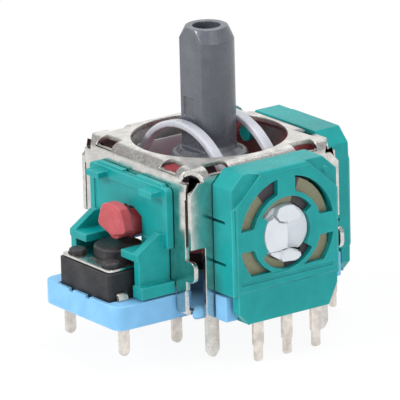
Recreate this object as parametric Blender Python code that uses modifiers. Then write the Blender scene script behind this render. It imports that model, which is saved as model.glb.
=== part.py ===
# Controller analog stick: a two-axis stick module with two rotary sensors and a push switch.
#
# Frame: +Z up, millimetres here and metres in the meshes. The stick stands on the Z axis and the
# underside of the base, where the circuit board lies, is Z = 0. The push switch is on the -Y
# side, one sensor on the +X side and the other on the +Y side.

import math

import bmesh
import bpy
from mathutils import Matrix, Vector

MM = 0.001

# Clearances
FIT = 0.05            # between pieces that are fixed to each other
RUN = 0.06            # between pieces that move on each other

# Gimbal
GIMBAL_Z = 6.0        # height of both tilt axes

# Frame cover: folded sheet
FRAME_WIDTH = 13.0
FRAME_HALF = FRAME_WIDTH / 2
FRAME_TOP = 11.0
SHEET = 0.35
BEND_RADIUS = 0.9
OPENING_RADIUS = FRAME_HALF - 1.0
RELIEF_LENGTH = 1.8   # relief windows in each bend, near the corners
RELIEF_START = FRAME_HALF - RELIEF_LENGTH - 1.8
RELIEF_BOTTOM = 10.45
RELIEF_REACH = 0.25   # how far a relief window runs onto the flat top
KEYHOLE_RADIUS = 0.7
CORNER_CUT = 1.25     # cut corners of the flat top, from the square's corner along x + y
CORNER_CUT_BOTTOM = 9.0
LEG_TIP = -2.7
LEG_WIDTH = 1.05
LEG_INSET = 1.25      # from a leg's outer edge to the frame's side
EAR_PROUD = 0.4       # how far the ears on the -Y and +Y sides stand out past the frame
EAR_BOTTOM = 3.0
EAR_TOP = 4.55
EAR_ROUNDING = 0.5
CLINCH_LENGTH = 1.0
CLINCH_WIDTH = 1.05
CLINCH_INSET = 0.75
CLINCH_TOP = 0.8
SHOULDER_DROP = 0.7   # from the bend to where a flange has its full width
SIDE_STEP_Z = 5.35    # the flanges with legs are full width above this

# Sensor housing, described for the +X side; the +Y one is a turned copy
HOUSING_FACE = FRAME_HALF + 2.5
HOUSING_WIDTH = 9.14
HOUSING_TOP = 10.8
HOUSING_WALL = 0.7
FACE_WALL = 0.5
FACE_EDGE = 0.3       # rounding of the front edges
WINDOW_INNER = 2.95
WINDOW_OUTER = 4.05
SPOKE = 1.5
WINDOW_FLOOR = 3.4
HUB_SLOT_OUTER = 2.6
HUB_SLOT_HALF_ANGLE = 55.0
BLOCK_TOP = 2.85      # top of the plain block below the windows
BLOCK_HALF = 3.5
SIDE_BOTTOM = 2.1     # underside of the side walls beside the block
CHEEK_BOTTOM = 0.9
RIGHT_CORNER_RUN = 1.2
RIGHT_CORNER_DROP = 1.1
LEFT_CORNER = 1.0
RIGHT_FACET_DEPTH = 0.33
RIGHT_FACET_START = 1.8   # where the right facet's edge meets the top
RIGHT_FACET_SLOPE = 0.9   # its drop along the face, as a share of its run
LEFT_FACET_DEPTH = 0.25
FACET_DOT = (3.57, 9.8)
CHEEK_DEPTH = 0.8
PEG_RADIUS = 0.6
PEG_Y = 3.85
PEG_Z = 9.1
LOW_PEG_Z = 3.85
PEG_PROUD = 0.3       # how far the pegs stand out inside the frame
SNAP_SLIT = 0.2
SNAP_TOP = 7.3
SNAP_BOTTOM = 4.25

# Rotor and its wiper
ROTOR_RADIUS = 1.93
ROTOR_COLLAR = 0.77    # how far its flange stands out
ROTOR_FLANGE = 0.45
ROTOR_BOSS_RADIUS = 1.5
ROTOR_STEP = 0.55     # depth of the recessed half of the rotor's face
TONGUE_WIDTH = 1.5    # the arms' flat tongues, which turn the rotors
TONGUE_HEIGHT = 2.0
TONGUE_END = FRAME_HALF + 1.0
WIPER_SHEET = 0.12
WIPER_REACH = 1.37    # from the rotor's rim to the wiper's outer edge

# Resistor board and sensor pins
BOARD_THICKNESS = 0.55
BOARD_TOP_RADIUS = 3.85
PIN_PITCH = 2.5
PIN_WIDTH = 0.85
PIN_STEP = 0.1        # each side of a pin steps in this far near its tip
PIN_STEP_Z = -1.75
PIN_THICKNESS = 0.3
PIN_FACE_INSET = 0.2
PIN_TIP = -2.9

# Stick
STICK_TOP = 19.0
STICK_RADIUS = 1.95
STICK_FLAT = 1.45     # half distance between the two flats
STICK_HOLE_RADIUS = 1.0
STICK_HOLE_DEPTH = 3.5
STICK_CHAMFER = 0.45
STICK_CHAMFER_HEIGHT = 0.9
SKIRT_RADIUS = 2.75
SKIRT_Z = 9.8
STICK_BODY_RADIUS = 2.0
TRUNNION_RADIUS = 0.9
FOOT_RADIUS = 1.2
FOOT_REACH = 3.0      # foot of the stick below the axes

# Upper arm: the white arch
ARCH_OUTER = FRAME_HALF - 0.15
ARCH_INNER = ARCH_OUTER - 0.75
RAIL_THICKNESS = 0.6
ARCH_SLOT_GAP = 0.47  # rail to flat: leaves room for the stick's twist at a corner of its travel
CHEEK_OUTER = FRAME_HALF - 0.55
CHEEK_THICKNESS = 0.5
CHEEK_DROP = 1.6
JOURNAL_RADIUS = 1.3
JOURNAL_PROUD = 0.25

# Lower arm: the red cradle
CRADLE_HALF_X = FRAME_HALF - 2.1
CRADLE_HALF_Y = FRAME_HALF - 1.9
CRADLE_INNER_Y = CRADLE_HALF_Y - 1.2
CRADLE_RISE = 1.9
CRADLE_DROP = 2.2
ARM_SHAFT_RADIUS = 1.3
PRESS_PIVOT_Y = FRAME_HALF + 0.5   # the arm rocks about this line, inside the +Y rotor
NECK_RADIUS = 0.95
PRESSER_RADIUS = 1.05
PRESSER_BACK = -FRAME_HALF - 0.75
KNOB_BACK = -FRAME_HALF - 0.9
KNOB_FRONT = KNOB_BACK - 1.2
KNOB_EDGE = 0.22

# Centering slider and spring
SLIDER_RADIUS = 2.5
SLIDER_THICKNESS = 0.4
SLIDER_SKIRT = 0.3
SLIDER_SKIRT_DROP = 0.9
SLIDER_GAP = 0.5      # foot to slider at rest, the slider's travel
SPRING_RADIUS = 1.65
SPRING_WIRE = 0.12
SPRING_TURNS = 3.5

# Push switch
SWITCH_Y = -FRAME_HALF - 1.5
SWITCH_WIDTH = 6.0
SWITCH_FLOOR = 0.5
SWITCH_TOP = 3.95
COVER_THICKNESS = 0.2
POST_PITCH = 4.1
POST_RADIUS = 0.64
POST_HEIGHT = 0.35
BUTTON_RADIUS = 1.75
BUTTON_TOP = 4.7
BUTTON_FLANGE_RADIUS = 2.05
BUTTON_FLANGE = 0.35
SWITCH_WELL_RADIUS = 2.2
SWITCH_WELL_FLOOR = 2.0
DOME_RISE = 0.45
DOME_SHEET = 0.08
TERMINAL_WIDTH = 0.8
TERMINAL_THICKNESS = 0.25
TERMINAL_PITCH_Y = 4.5
TERMINAL_TOP = 2.25
TERMINAL_X = 3.25     # 6.5 mm between the rows
TERMINAL_SHIFT = 0.2  # the terminals sit this far towards the frame from the body's middle
TERMINAL_ROOT = 2.7
TERMINAL_BEND = 0.4
TERMINAL_TIP = -2.28

# Base and tray
BASE_FLOOR = 1.0
BASE_CORNER = 0.7
TRAY_HALF = 4.55
TRAY_FRONT = SWITCH_Y - 3.4
TRAY_TOP = 1.75
TRAY_CORNER = 0.8
SEAT_FLOOR = 0.45     # floor of the spring seat
COLLAR_WALL = 0.5
COLLAR_TOP = 1.9
FOOT_TOP = 1.9
FOOT_OUTER = FRAME_HALF + 1.4
FOOT_SIDE = FRAME_HALF - LEG_INSET - 0.65
FOOT_WIDTH = 1.0

# Switch-side holder
HOLDER_FACE = FRAME_HALF + 0.6   # distance of its plate's face from the Z axis
HOLDER_HALF = 4.6
HOLDER_TOP = 9.45
HOLDER_STEP = 5.05
HOLDER_LOWER_HALF = 4.05
HOLDER_BOTTOM = 1.9
BORDER = 0.5
RECESS = 0.12
HOOK_INNER = 2.45
HOOK_OUTER = 3.9
HOOK_BOTTOM = 8.75
HOOK_TOP = 9.2
HOOK_REACH = 0.8
GUSSET_THICKNESS = 0.6
GUSSET_REACH = FRAME_HALF + 2.8
GUSSET_TOP = 6.2
LEDGE_INNER = 2.1
LEDGE_BOTTOM = 4.5
HOLDER_FOOT_TOP = 2.75

# Places that follow from the sizes above
FRAME_INNER = FRAME_HALF - SHEET
LEG_OUTER = FRAME_HALF - LEG_INSET
CLINCH_OUTER = FRAME_HALF - CLINCH_INSET
EAR_REACH = FRAME_HALF + EAR_PROUD
SIDE_SEAT = FRAME_HALF + FIT
BOARD_FRONT = HOUSING_FACE - FACE_WALL - FIT
BOARD_BACK = BOARD_FRONT - BOARD_THICKNESS
ROTOR_FLANGE_FRONT = BOARD_BACK - WIPER_SHEET - 0.3
ROTOR_FLANGE_BACK = ROTOR_FLANGE_FRONT - ROTOR_FLANGE
ROTOR_FLANGE_RADIUS = ROTOR_RADIUS + ROTOR_COLLAR
RAIL_INNER = STICK_FLAT + ARCH_SLOT_GAP
RAIL_OUTER = RAIL_INNER + RAIL_THICKNESS
ROTOR_BACK = CHEEK_OUTER + 0.15
SLIDER_TOP = GIMBAL_Z - FOOT_REACH - SLIDER_GAP
SWITCH_HALF = SWITCH_WIDTH / 2
SWITCH_FRONT = SWITCH_Y - SWITCH_HALF
SWITCH_BACK = SWITCH_Y + SWITCH_HALF
PIN_FACE = HOUSING_FACE - PIN_FACE_INSET
TERMINAL_OUT = TERMINAL_X + TERMINAL_THICKNESS / 2

PLANE_TURNS = {
    "XY": Matrix(((1, 0, 0), (0, 1, 0), (0, 0, 1))),
    "XZ": Matrix(((1, 0, 0), (0, 0, -1), (0, 1, 0))),
    "YZ": Matrix(((0, 0, 1), (1, 0, 0), (0, 1, 0))),
}

MATERIALS = {
    "teal_plastic": ((0.020, 0.380, 0.350), 0.42, 0.0),
    "blue_plastic": ((0.180, 0.490, 0.800), 0.45, 0.0),
    "grey_plastic": ((0.090, 0.095, 0.105), 0.38, 0.0),
    "red_plastic": ((0.580, 0.080, 0.090), 0.45, 0.0),
    "white_plastic": ((0.750, 0.770, 0.800), 0.40, 0.0),
    "milky_plastic": ((0.600, 0.600, 0.620), 0.35, 0.0),
    "black_plastic": ((0.025, 0.025, 0.028), 0.50, 0.0),
    "nickel_sheet": ((0.720, 0.700, 0.670), 0.22, 1.0),
    "tinned_pin": ((0.700, 0.680, 0.650), 0.30, 1.0),
    "laminate": ((0.300, 0.290, 0.190), 0.60, 0.0),
    "spring_steel": ((0.550, 0.550, 0.540), 0.25, 1.0),
    "bronze_contact": ((0.700, 0.480, 0.250), 0.30, 1.0),
}


# Scene set-up


def clear_scene():
    for obj in list(bpy.data.objects):
        bpy.data.objects.remove(obj, do_unlink=True)


def new_collection(name):
    collection = bpy.data.collections.new(name)
    bpy.context.scene.collection.children.link(collection)
    return collection


clear_scene()
PARTS = new_collection("controller_analog_stick")
CUTTERS = new_collection("cutters")


def material(name):
    if name in bpy.data.materials:
        return bpy.data.materials[name]
    colour, roughness, metallic = MATERIALS[name]
    made = bpy.data.materials.new(name)
    made.use_nodes = True
    shader = made.node_tree.nodes["Principled BSDF"]
    shader.inputs["Base Color"].default_value = (*colour, 1.0)
    shader.inputs["Roughness"].default_value = roughness
    shader.inputs["Metallic"].default_value = metallic
    made.diffuse_color = (*colour, 1.0)
    return made


# Shapes. Each one starts as a construction shape in the cutters collection, in world place.


def shape_object(name, mesh):
    obj = bpy.data.objects.new(name, mesh)
    obj.hide_render = True
    obj.display_type = "WIRE"
    CUTTERS.objects.link(obj)
    return obj


def shape_from_bmesh(name, bm, smooth_angle=35.0):
    bmesh.ops.recalc_face_normals(bm, faces=bm.faces[:])
    mesh = bpy.data.meshes.new(name)
    bm.to_mesh(mesh)
    bm.free()
    mesh.shade_smooth()
    mesh.set_sharp_from_angle(angle=math.radians(smooth_angle))
    return shape_object(name, mesh)


def block(name, x_span, y_span, z_span):
    """A box between two values on each axis."""
    spans = (sorted(x_span), sorted(y_span), sorted(z_span))
    bm = bmesh.new()
    bmesh.ops.create_cube(bm, size=1.0)
    bmesh.ops.scale(bm, vec=[(high - low) * MM for low, high in spans], verts=bm.verts)
    bmesh.ops.translate(bm, vec=[(high + low) / 2 * MM for low, high in spans], verts=bm.verts)
    return shape_from_bmesh(name, bm)


def rod(name, radius, start, end, end_radius=None, sides=32):
    """A cylinder, or a cone if end_radius is given, between two points."""
    start = Vector(start)
    end = Vector(end)
    axis = end - start
    bm = bmesh.new()
    bmesh.ops.create_cone(
        bm,
        cap_ends=True,
        segments=sides,
        radius1=radius * MM,
        radius2=(radius if end_radius is None else end_radius) * MM,
        depth=axis.length * MM,
    )
    turn = axis.to_track_quat("Z", "Y").to_matrix().to_4x4()
    place = Matrix.Translation((start + end) / 2 * MM)
    bmesh.ops.transform(bm, matrix=place @ turn, verts=bm.verts)
    return shape_from_bmesh(name, bm)


def plate(name, outlines, low, high, plane="XY"):
    """A flat outline, with inner outlines as holes, between two levels across its plane."""
    curve = bpy.data.curves.new(name, "CURVE")
    curve.dimensions = "2D"
    curve.fill_mode = "BOTH"
    curve.extrude = abs(high - low) / 2
    for points in outlines:
        spline = curve.splines.new("POLY")
        spline.points.add(len(points) - 1)
        for point, (u, v) in zip(spline.points, points):
            point.co = (u, v, 0.0, 1.0)
        spline.use_cyclic_u = True
    drawn = bpy.data.objects.new(name, curve)
    CUTTERS.objects.link(drawn)
    evaluated = drawn.evaluated_get(bpy.context.evaluated_depsgraph_get())
    mesh = bpy.data.meshes.new_from_object(evaluated)
    bpy.data.objects.remove(drawn)
    bpy.data.curves.remove(curve)
    bm = bmesh.new()
    bm.from_mesh(mesh)
    bpy.data.meshes.remove(mesh)
    bmesh.ops.remove_doubles(bm, verts=bm.verts, dist=0.0001)
    middle = (low + high) / 2
    across = -middle if plane == "XZ" else middle
    bmesh.ops.translate(bm, vec=(0.0, 0.0, across), verts=bm.verts)
    bmesh.ops.transform(bm, matrix=PLANE_TURNS[plane].to_4x4(), verts=bm.verts)
    bmesh.ops.scale(bm, vec=(MM, MM, MM), verts=bm.verts)
    return shape_from_bmesh(name, bm)


def turned(name, profile, centre, axis="Z", steps=40):
    """A profile of (radius, height) pairs, top to bottom, turned about an axis through centre."""
    mesh = bpy.data.meshes.new(name)
    vertices = [(radius * MM, 0.0, height * MM) for radius, height in profile]
    edges = [(index, index + 1) for index in range(len(profile) - 1)]
    mesh.from_pydata(vertices, edges, [])
    obj = shape_object(name, mesh)
    screw = obj.modifiers.new("Turn", "SCREW")
    screw.steps = steps
    screw.render_steps = steps
    screw.use_merge_vertices = True
    screw.merge_threshold = 0.000001
    screw.use_smooth_shade = False
    quarter = math.pi / 2
    turns = {
        "Z": Matrix.Identity(4),
        "X": Matrix.Rotation(quarter, 4, "Y"),
        "Y": Matrix.Rotation(-quarter, 4, "X"),
    }
    obj.matrix_world = Matrix.Translation(Vector(centre) * MM) @ turns[axis]
    return obj


def arc(centre_u, centre_v, radius, start_degrees, end_degrees, steps=8):
    """Points along an arc, both ends included."""
    points = []
    for step in range(steps + 1):
        angle = math.radians(start_degrees + (end_degrees - start_degrees) * step / steps)
        points.append((centre_u + radius * math.cos(angle), centre_v + radius * math.sin(angle)))
    return points


def rounded_box_outline(u_span, v_span, radius, steps=4):
    (u0, u1), (v0, v1) = u_span, v_span
    return (
        arc(u1 - radius, v1 - radius, radius, 0, 90, steps)
        + arc(u0 + radius, v1 - radius, radius, 90, 180, steps)
        + arc(u0 + radius, v0 + radius, radius, 180, 270, steps)
        + arc(u1 - radius, v0 + radius, radius, 270, 360, steps)
    )


def mirrored(half):
    """A closed outline from its +u half, listed top to bottom."""
    return half + [(-u, v) for u, v in reversed(half)]


def both_sides(spans):
    """A span and its mirror image."""
    low, high = spans
    return [(low, high), (-high, -low)]


# Ways to change a shape


def boolean(body, tool, operation):
    modifier = body.modifiers.new(tool.name, "BOOLEAN")
    modifier.operation = operation
    modifier.solver = "EXACT"
    modifier.object = tool


def cut(body, *tools):
    for tool in tools:
        boolean(body, tool, "DIFFERENCE")
    return body


def fuse(body, *tools):
    for tool in tools:
        boolean(body, tool, "UNION")
    return body


def round_edges(obj, width, segments=2, angle=40.0):
    bevel = obj.modifiers.new("Edges", "BEVEL")
    bevel.width = width * MM
    bevel.segments = segments
    bevel.limit_method = "ANGLE"
    bevel.angle_limit = math.radians(angle)
    bevel.use_clamp_overlap = True
    return obj


def round_front_edges(obj, level, width, segments=2):
    """Rounds the edges that lie on the +X face at a level."""
    bm = bmesh.new()
    bm.from_mesh(obj.data)
    front = [
        edge for edge in bm.edges
        if all(vertex.co.x > (level - 0.01) * MM for vertex in edge.verts)
        and edge.calc_face_angle(0.0) > math.radians(30)
    ]
    bmesh.ops.bevel(
        bm, geom=front, offset=width * MM, segments=segments, profile=0.5, affect="EDGES"
    )
    bm.to_mesh(obj.data)
    bm.free()
    return obj


def finish(obj, name, material_name, origin=(0.0, 0.0, 0.0)):
    """Makes a shape a finished part with its own material and its origin at a point."""
    CUTTERS.objects.unlink(obj)
    PARTS.objects.link(obj)
    obj.name = name
    obj.data.name = name
    obj.hide_render = False
    obj.display_type = "TEXTURED"
    obj.data.materials.clear()
    obj.data.materials.append(material(material_name))
    turn = obj.matrix_world.to_3x3().to_4x4()
    place = obj.matrix_world.translation
    new_place = Vector(origin) * MM
    offset = turn.inverted() @ (place - new_place)
    obj.data.transform(Matrix.Translation(offset))
    obj.matrix_world = Matrix.Translation(new_place) @ turn
    return obj


def turned_copy(source, name, material_name):
    """A copy of a +X part, turned a quarter to the +Y side."""
    bpy.context.view_layer.update()
    evaluated = source.evaluated_get(bpy.context.evaluated_depsgraph_get())
    mesh = bpy.data.meshes.new_from_object(evaluated)
    mesh.name = name
    mesh.materials.clear()
    mesh.materials.append(material(material_name))
    copy = bpy.data.objects.new(name, mesh)
    PARTS.objects.link(copy)
    copy.matrix_world = Matrix.Rotation(math.pi / 2, 4, "Z") @ source.matrix_world
    return copy


def carry(parent, *children):
    """Parents parts to the piece that carries them, and leaves them where they are."""
    bpy.context.view_layer.update()
    for child in children:
        child.parent = parent
        child.matrix_parent_inverse = parent.matrix_world.inverted()


# Frame cover


def flange_outline_y():
    """Outline of the flanges on the -Y and +Y sides, as (x, z), with an ear and strip ends."""
    strip_inner = CLINCH_OUTER - CLINCH_WIDTH
    bend = FRAME_TOP - BEND_RADIUS
    side = FRAME_HALF - 0.6
    flange_bottom = FOOT_TOP + 0.5
    return mirrored([
        (side - 0.4, FRAME_TOP),
        (side - 0.4, bend),
        (side, bend - 1.2),
        (side, flange_bottom),
        (CLINCH_OUTER, flange_bottom - 0.2),
        (CLINCH_OUTER, CLINCH_TOP),
        (strip_inner, CLINCH_TOP),
        (strip_inner, flange_bottom),
    ])


def flange_outline_x():
    """Outline of the flanges on the -X and +X sides, as (y, z), with two solder legs."""
    leg_inner = LEG_OUTER - LEG_WIDTH
    side = FRAME_HALF - 0.08
    bend = FRAME_TOP - BEND_RADIUS
    taper = 0.24 * LEG_WIDTH
    tip = 0.43 * LEG_WIDTH
    return mirrored([
        (side - 0.85, FRAME_TOP),
        (side - 0.6, bend),
        (side, bend - SHOULDER_DROP),
        (side, SIDE_STEP_Z),
        (LEG_OUTER, SIDE_STEP_Z),
        (LEG_OUTER, LEG_TIP + 0.5),
        (LEG_OUTER - taper, LEG_TIP + 0.1),
        (LEG_OUTER - tip, LEG_TIP),
        (leg_inner + tip, LEG_TIP),
        (leg_inner + taper, LEG_TIP + 0.1),
        (leg_inner, LEG_TIP + 0.5),
        (leg_inner, FOOT_TOP + 0.5),
    ])


def clinch_outline():
    """A clinch tab with its fold, as (y, z)."""
    tab_end = FRAME_INNER - CLINCH_LENGTH
    return (
        [(FRAME_INNER, CLINCH_TOP + 0.1), (FRAME_INNER, CLINCH_TOP), (tab_end, CLINCH_TOP)]
        + [(tab_end, CLINCH_TOP - SHEET)]
        + arc(FRAME_INNER, CLINCH_TOP, SHEET, 270, 360, 4)
        + [(FRAME_HALF, CLINCH_TOP + 0.1)]
    )


def side_trimmer(name, outline, sign, plane, half_width):
    """Everything outside a flange's outline, as thick as the sheet."""
    top = FRAME_TOP - BEND_RADIUS + 0.45
    bottom = LEG_TIP - 1.0
    around = [(-half_width, bottom), (half_width, bottom), (half_width, top), (-half_width, top)]
    low, high = sorted((sign * (FRAME_INNER - 0.02), sign * (FRAME_HALF + 0.5)))
    outside = plate(name, [around], low, high, plane)
    kept = plate(name + "_kept", [outline], low - 0.1, high + 0.1, plane)
    return cut(outside, kept)


def frame_cover():
    bottom = LEG_TIP - 0.5
    bm = bmesh.new()
    bmesh.ops.create_cube(bm, size=1.0)
    height = FRAME_TOP - bottom
    bmesh.ops.scale(bm, vec=(FRAME_WIDTH * MM, FRAME_WIDTH * MM, height * MM), verts=bm.verts)
    bmesh.ops.translate(bm, vec=(0, 0, (FRAME_TOP + bottom) / 2 * MM), verts=bm.verts)
    under = [face for face in bm.faces if face.normal.z < -0.5]
    bmesh.ops.delete(bm, geom=under, context="FACES_ONLY")
    near_top = (FRAME_TOP - 0.1) * MM
    top_edges = [edge for edge in bm.edges if all(v.co.z > near_top for v in edge.verts)]
    bmesh.ops.bevel(
        bm, geom=top_edges, offset=BEND_RADIUS * MM, segments=4, profile=0.5, affect="EDGES"
    )
    cover = shape_from_bmesh("cover_sheet", bm)
    sheet = cover.modifiers.new("Sheet", "SOLIDIFY")
    sheet.thickness = SHEET * MM
    sheet.offset = -1.0
    sheet.use_even_offset = True

    opening = rod(
        "cover_opening", OPENING_RADIUS, (0, 0, FRAME_TOP - 1.5), (0, 0, FRAME_TOP + 1), sides=48
    )
    cut(cover, opening)
    for sign in (-1, 1):
        cut(
            cover,
            side_trimmer("trim_y", flange_outline_y(), sign, "XZ", FRAME_INNER - 0.01),
            side_trimmer("trim_x", flange_outline_x(), sign, "YZ", FRAME_HALF + 1.0),
        )

    relief_in = FRAME_HALF - BEND_RADIUS - RELIEF_REACH
    relief_out = FRAME_HALF + 0.5
    relief_z = (RELIEF_BOTTOM, FRAME_TOP + 0.5)
    for along in both_sides((RELIEF_START, RELIEF_START + RELIEF_LENGTH)):
        for across in both_sides((relief_in, relief_out)):
            cut(cover, block("relief_y", along, across, relief_z))
            cut(cover, block("relief_x", across, along, relief_z))

    corner_z = FRAME_TOP - BEND_RADIUS - 0.25
    for x_sign in (-1, 1):
        for y_sign in (-1, 1):
            edge = FRAME_HALF + 0.2
            short = FRAME_WIDTH - CORNER_CUT - edge
            corner = [(edge, short), (edge, edge), (short, edge)]
            corner = [(x_sign * x, y_sign * y) for x, y in corner]
            cut(cover, plate("corner_cut", [corner], CORNER_CUT_BOTTOM, FRAME_TOP + 1))
            near = (x_sign * (FRAME_HALF - 1.1), y_sign * (FRAME_HALF - 1.1), corner_z)
            far = (x_sign * (FRAME_HALF + 1.0), y_sign * (FRAME_HALF + 1.0), corner_z)
            cut(cover, rod("keyhole", KEYHOLE_RADIUS, near, far, sides=16))

    shaft_hole = ROTOR_BOSS_RADIUS + 0.1
    outside = FRAME_HALF + 1.0
    inside = FRAME_INNER - 1.0
    cut(
        cover,
        rod("shaft_hole_x", shaft_hole, (inside, 0, GIMBAL_Z), (outside, 0, GIMBAL_Z)),
        rod("shaft_hole_y", shaft_hole, (0, inside, GIMBAL_Z), (0, outside, GIMBAL_Z)),
        rod("bearing", JOURNAL_RADIUS + RUN, (-outside, 0, GIMBAL_Z), (-inside, 0, GIMBAL_Z)),
    )
    for u, z in peg_places():
        peg_hole = PEG_RADIUS + FIT
        cut(cover, rod("peg_hole_x", peg_hole, (inside, u, z), (outside, u, z), sides=24))
        cut(cover, rod("peg_hole_y", peg_hole, (-u, inside, z), (-u, outside, z), sides=24))

    neck_half = NECK_RADIUS + 0.45
    neck_top = GIMBAL_Z + NECK_RADIUS + 0.3
    switch_half = SWITCH_HALF + 0.2
    window = mirrored([
        (0.5, neck_top),
        (neck_half, neck_top - 0.5),
        (neck_half, SWITCH_TOP + POST_HEIGHT + 0.2),
        (switch_half, SWITCH_TOP + POST_HEIGHT + 0.2),
        (switch_half, LEG_TIP - 1.0),
    ])
    cut(cover, plate("switch_window", [window], -outside, -inside, "XZ"))

    for x_span in both_sides((FRAME_HALF - 1.5, EAR_REACH)):
        ear = rounded_box_outline(x_span, (EAR_BOTTOM, EAR_TOP), EAR_ROUNDING, 3)
        for y_low, y_high in both_sides((FRAME_INNER, FRAME_HALF)):
            fuse(cover, plate("ear", [ear], y_low, y_high, "XZ"))
    for x_low, x_high in both_sides((CLINCH_OUTER - CLINCH_WIDTH, CLINCH_OUTER)):
        for sign in (-1, 1):
            tab = [(sign * y, z) for y, z in clinch_outline()]
            fuse(cover, plate("clinch_tab", [tab], x_low, x_high, "YZ"))
    return finish(cover, "frame_cover", "nickel_sheet")


# Sensor housing, board and pins on the +X side


def peg_places():
    """The two locating pegs, as (y, z)."""
    return [(PEG_Y, PEG_Z), (-PEG_Y, LOW_PEG_Z)]


def pin_places():
    return [-PIN_PITCH, 0.0, PIN_PITCH]


def housing_outline():
    half = HOUSING_WIDTH / 2
    return [
        (half, SIDE_BOTTOM),
        (half, HOUSING_TOP - RIGHT_CORNER_DROP),
        (half - RIGHT_CORNER_RUN, HOUSING_TOP),
        (-half + LEFT_CORNER, HOUSING_TOP),
        (-half, HOUSING_TOP - LEFT_CORNER),
        (-half, SIDE_BOTTOM),
    ]


def window_tool(index):
    """One quarter of the ring of windows, between the spokes."""
    front = HOUSING_FACE + 1.0
    back = HOUSING_FACE - FACE_WALL - 0.2
    ring = plate(
        "window",
        [
            arc(0, GIMBAL_Z, WINDOW_OUTER, 0, 350, 35),
            arc(0, GIMBAL_Z, WINDOW_INNER, 0, 345, 23),
        ],
        back,
        front,
        "YZ",
    )
    reach = WINDOW_OUTER + 1.0
    y_sign = 1 if index in (0, 3) else -1
    low = GIMBAL_Z + SPOKE / 2 if index < 2 else WINDOW_FLOOR
    high = GIMBAL_Z + reach if index < 2 else GIMBAL_Z - SPOKE / 2
    y_span = (y_sign * SPOKE / 2, y_sign * reach)
    quarter = block("quarter", (back - 1, front + 1), y_span, (low, high))
    boolean(ring, quarter, "INTERSECT")
    return ring


def pot_housing_x():
    half = HOUSING_WIDTH / 2
    face = HOUSING_FACE
    body = plate("housing_body", [housing_outline()], SIDE_SEAT, face, "YZ")
    round_front_edges(body, face, FACE_EDGE)

    cheek = plate(
        "housing_cheek",
        [[
            (half - 0.3, SIDE_BOTTOM + 0.5),
            (half - 0.3, CHEEK_BOTTOM + 0.6),
            (BLOCK_HALF, 0.0),
            (-BLOCK_HALF + 0.1, 0.0),
            (-half + 0.3, CHEEK_BOTTOM),
            (-half + 0.3, SIDE_BOTTOM + 0.5),
        ]],
        face - CHEEK_DEPTH,
        face - 0.03,
        "YZ",
    )
    foot = block(
        "housing_foot", (SIDE_SEAT, face - 0.1), (-BLOCK_HALF, BLOCK_HALF), (0.0, SIDE_BOTTOM + 0.6)
    )
    fuse(body, cheek, foot)

    cavity_half = half - HOUSING_WALL
    cavity = plate(
        "housing_cavity",
        [[
            (cavity_half, BLOCK_TOP),
            (cavity_half, HOUSING_TOP - RIGHT_CORNER_DROP - 0.3),
            (cavity_half - RIGHT_CORNER_RUN + 0.2, HOUSING_TOP - HOUSING_WALL),
            (-cavity_half + LEFT_CORNER - 0.1, HOUSING_TOP - HOUSING_WALL),
            (-cavity_half, HOUSING_TOP - LEFT_CORNER - 0.3),
            (-cavity_half, BLOCK_TOP),
        ]],
        SIDE_SEAT - 0.5,
        face - FACE_WALL,
        "YZ",
    )
    cut(body, cavity)
    for y, z in peg_places():
        peg_end = FRAME_INNER - PEG_PROUD
        peg = rod("peg", PEG_RADIUS, (peg_end, y, z), (face - FACE_WALL + 0.1, y, z), sides=20)
        fuse(body, peg)

    for y in pin_places():
        slot_half = PIN_WIDTH / 2 + FIT
        slot = block(
            "pin_slot", (PIN_FACE - PIN_THICKNESS - FIT, PIN_FACE + FIT),
            (y - slot_half, y + slot_half), (-1.0, BLOCK_TOP - 0.05)
        )
        cut(body, slot)

    for index in range(4):
        cut(body, window_tool(index))
    back = face - FACE_WALL - 0.2
    hub_hole = rod(
        "hub_hole", ROTOR_RADIUS + RUN, (back, 0, GIMBAL_Z), (face + 1, 0, GIMBAL_Z), sides=36
    )
    cut(body, hub_hole)
    for middle in (90.0, 270.0):
        start = middle - HUB_SLOT_HALF_ANGLE
        end = middle + HUB_SLOT_HALF_ANGLE
        outline = arc(0, GIMBAL_Z, HUB_SLOT_OUTER, start, end, 10)
        outline += arc(0, GIMBAL_Z, ROTOR_RADIUS - 0.5, end, start, 5)
        cut(body, plate("hub_slot", [outline], back, face + 1, "YZ"))

    groove_z = (BLOCK_TOP, BLOCK_TOP + 0.3)
    cut(body, block("face_groove", (face - 0.12, face + 1), (-4.0, 3.9), groove_z))
    outside = half + 0.5
    above = HOUSING_TOP + 0.5
    right_drop = RIGHT_FACET_SLOPE * (outside - RIGHT_FACET_START)
    right_facet = [
        (RIGHT_FACET_START, HOUSING_TOP),
        (outside, HOUSING_TOP - right_drop),
        (outside, above),
        (RIGHT_FACET_START, above),
    ]
    left_facet = [(-2.25, HOUSING_TOP - 0.2), (-half - 0.2, 8.2), (-outside, above)]
    right_floor = face - RIGHT_FACET_DEPTH
    left_floor = face - LEFT_FACET_DEPTH
    cut(body, plate("right_facet", [right_facet], right_floor, face + 1, "YZ"))
    cut(body, plate("left_facet", [left_facet], left_floor, face + 1, "YZ"))
    dot_foot = (right_floor - 0.1, *FACET_DOT)
    dot_top = (right_floor + 0.14, *FACET_DOT)
    fuse(body, rod("facet_dot", 0.3, dot_foot, dot_top, 0.2, 12))

    for z in (SNAP_BOTTOM, SNAP_TOP):
        slit = block(
            "snap_slit", (SIDE_SEAT - 0.5, BOARD_BACK), (-half - 0.5, -half + HOUSING_WALL + 0.03),
            (z - SNAP_SLIT / 2, z + SNAP_SLIT / 2)
        )
        cut(body, slit)

    return finish(body, "pot_housing_x", "teal_plastic")


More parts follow.
